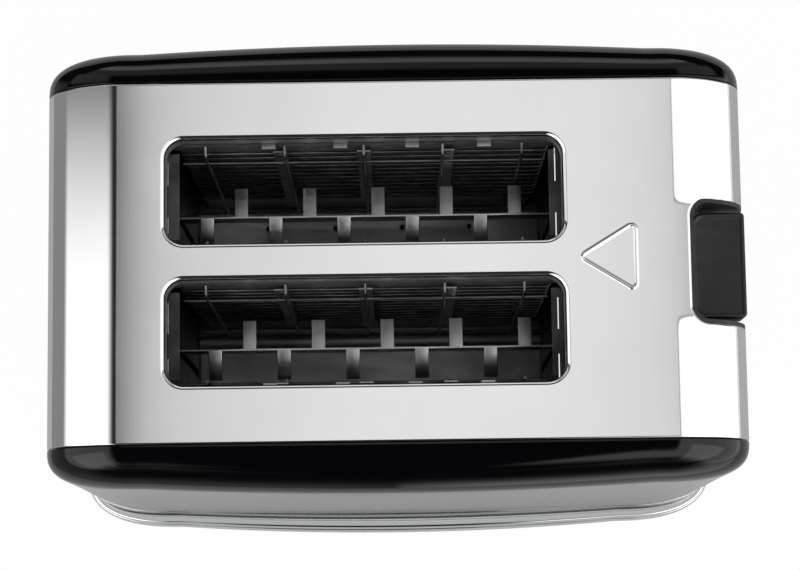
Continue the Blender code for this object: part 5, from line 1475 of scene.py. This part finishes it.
@dataclass
class Studio:
    """The floor, the light tent and the camera."""

    softboxes: tuple[Softbox, ...] = (
        # Overhead: a small bright window inside a soft one, on a faint wide glow.
        Softbox((-6.95, 7.15), (-0.02, 0.28), 0.272, 0.1, 0.05),
        Softbox((-6.4, 7.6), (-0.02, 0.28), 0.45, 0.5, 0.05),
        Softbox((-3.5, 6.5), (-0.02, 0.28), 0.224, 4.0, 0.05),
        # Behind: a narrow strip that draws the line along the rear panel, and its glow.
        Softbox((-75.0, 75.0), (0.915, 0.989), 1.2, 4.0, 0.015),
        Softbox((-75.0, 75.0), (0.7, 0.95), 0.4, 6.0, 0.08),
        # High at the rear corners: the steel shows these from other sides.
        Softbox((-88.0, -22.0), (0.34, 0.72), 0.5, 6.0, 0.06),
        Softbox((22.0, 88.0), (0.34, 0.72), 0.5, 6.0, 0.06),
        # Left and right: tall screens beside the toaster, and their dimmer lower parts.
        Softbox((-93.0, -16.4), (-0.9, 0.195), 1.3, 5.0, 0.06),
        Softbox((-180.0, -93.0), (-0.9, 0.4), 0.25, 6.0, 0.1),
        Softbox((8.6, 112.0), (-0.9, 0.27), 1.3, 1.0, 0.06),
        Softbox((110.0, 180.0), (-0.9, 0.4), 0.95, 6.0, 0.1),
        # In front, low at both sides: they light the black plastic and the inside.
        Softbox((-80.0, -25.0), (-0.95, -0.3), 1.04, 4.0, 0.05),
        Softbox((25.0, 80.0), (-0.95, -0.3), 1.04, 4.0, 0.05),
    )
    ambient: float = 0.024
    table: tuple[Pair, Pair] = ((-0.32, -0.26), (0.45, 0.5))
    mirrored: float = 0.22
    paper_glow: float = 0.97
    bounced_glow: float = 0.6
    lens: float = 105.75
    place: tuple[float, float, float] = (-0.00005, -0.12576, 1.0217)
    tilt: float = 7.926
    yaw: float = -0.7263
    roll: float = -0.0555

    def light(self) -> None:
        """Hangs the softboxes in the world, whose backdrop the camera sees as white."""
        world = bpy.data.worlds.new("studio")
        bpy.context.scene.world = world
        world.use_nodes = True
        tree = world.node_tree
        tree.nodes.clear()
        way = add_node(tree, "ShaderNodeTexCoord").outputs["Generated"]
        x, y, z = add_node(tree, "ShaderNodeSeparateXYZ", {0: way}).outputs
        turn = math_node(tree, "ARCTAN2", x, z)
        total: Socket | float = self.ambient
        for box in self.softboxes:
            shares = []
            spans = ((turn, box.roll, box.roll_edge, math.pi / 180), (y, box.lean, box.lean_edge, 1.0))
            for value, (low, high), edge, unit in spans:
                middle, half, soft = (low + high) / 2 * unit, (high - low) / 2 * unit, edge * unit
                off = math_node(tree, "ABSOLUTE", math_node(tree, "SUBTRACT", value, middle))
                ends = (half - soft, half + soft)
                shares.append(range_node(tree, off, ends, (1.0, 0.0), interpolation_type="SMOOTHSTEP"))
            lit = math_node(tree, "MULTIPLY", *shares)
            total = math_node(tree, "MULTIPLY_ADD", lit, box.strength, total)
        seen = add_node(tree, "ShaderNodeLightPath").outputs["Is Camera Ray"]
        strength = add_node(tree, "ShaderNodeMix", {0: seen, 2: total, 3: 1.0}).outputs[0]
        back = add_node(tree, "ShaderNodeBackground", {"Color": linear("#FFFFFF"), "Strength": strength})
        add_node(tree, "ShaderNodeOutputWorld", {"Surface": back.outputs[0]})

    def floor(self) -> None:
        """Lays a plain white floor that keeps the object's shadow."""
        mesh = bpy.data.meshes.new("floor")
        low, high = self.table
        corners = [(low[0], low[1], 0), (high[0], low[1], 0), (high[0], high[1], 0), (low[0], high[1], 0)]
        mesh.from_pydata(corners, [], [(0, 1, 2, 3)])
        floor = bpy.data.objects.new("floor", mesh)
        bpy.context.scene.collection.objects.link(floor)
        material = bpy.data.materials.new("white_paper")
        material.use_nodes = True
        tree = material.node_tree
        tree.nodes.clear()
        paper = add_node(tree, "ShaderNodeBsdfDiffuse", {"Color": linear("#F4F4F4")}).outputs[0]
        rays = add_node(tree, "ShaderNodeLightPath").outputs
        seen = rays["Is Camera Ray"]
        level = math_node(tree, "MULTIPLY_ADD", seen, 1.0 - self.mirrored, self.mirrored)
        inputs = {"Color": linear("#FFFFFF"), "Strength": level}
        glow = add_node(tree, "ShaderNodeEmission", inputs).outputs[0]
        bounced = math_node(tree, "ADD", rays["Is Glossy Ray"], rays["Is Transmission Ray"])
        faint = math_node(tree, "MULTIPLY", bounced, self.bounced_glow)
        share = math_node(tree, "MULTIPLY_ADD", seen, self.paper_glow, faint)
        mixed = add_node(tree, "ShaderNodeMixShader", {0: share, 1: paper, 2: glow})
        add_node(tree, "ShaderNodeOutputMaterial", {"Surface": mixed.outputs[0]})
        mesh.materials.append(material)

    def camera(self) -> None:
        """Places the camera as the photograph was taken, from above the front."""
        data = bpy.data.cameras.new("camera")
        data.lens = self.lens
        data.sensor_width = 36.0
        camera = bpy.data.objects.new("camera", data)
        bpy.context.scene.collection.objects.link(camera)
        turns = ((self.yaw, "Z"), (self.tilt, "X"), (self.roll, "Z"))
        yaw, tilt, roll = (Matrix.Rotation(math.radians(angle), 4, axis) for angle, axis in turns)
        camera.matrix_world = Matrix.Translation(self.place) @ (yaw @ tilt @ roll)
        bpy.context.scene.camera = camera

    def build(self) -> None:
        """Builds the whole studio."""
        bpy.context.scene.view_settings.view_transform = "Standard"
        self.light()
        self.floor()
        self.camera()


def dress_nodes(frame: dict) -> None:
    """Gives every carried-over node of the loaded frame the finish of its slot."""
    by_slot = {finish.slot: finish for finish in FINISHES}
    for part in frame["record"]["subparts"]:
        mesh = frame["nodes"][part["node"]].data
        material = by_slot[part["material_slot"]].material()
        if not mesh.materials:
            mesh.materials.append(material)
        for k in range(len(mesh.materials)):
            mesh.materials[k] = material


def main() -> None:
    """Builds every sub-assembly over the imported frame."""
    logging.basicConfig(level=logging.INFO, format="%(name)s %(message)s")
    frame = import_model()
    Studio().build()
    dress_nodes(frame)
    SteelBand().build()
    Sides().build()
    LeverEnd().build()
    HeatingBoards().build()
    BreadGuards().build()
    Works().build(frame)
    Controls().build()


if __name__ == "__main__":
    main()
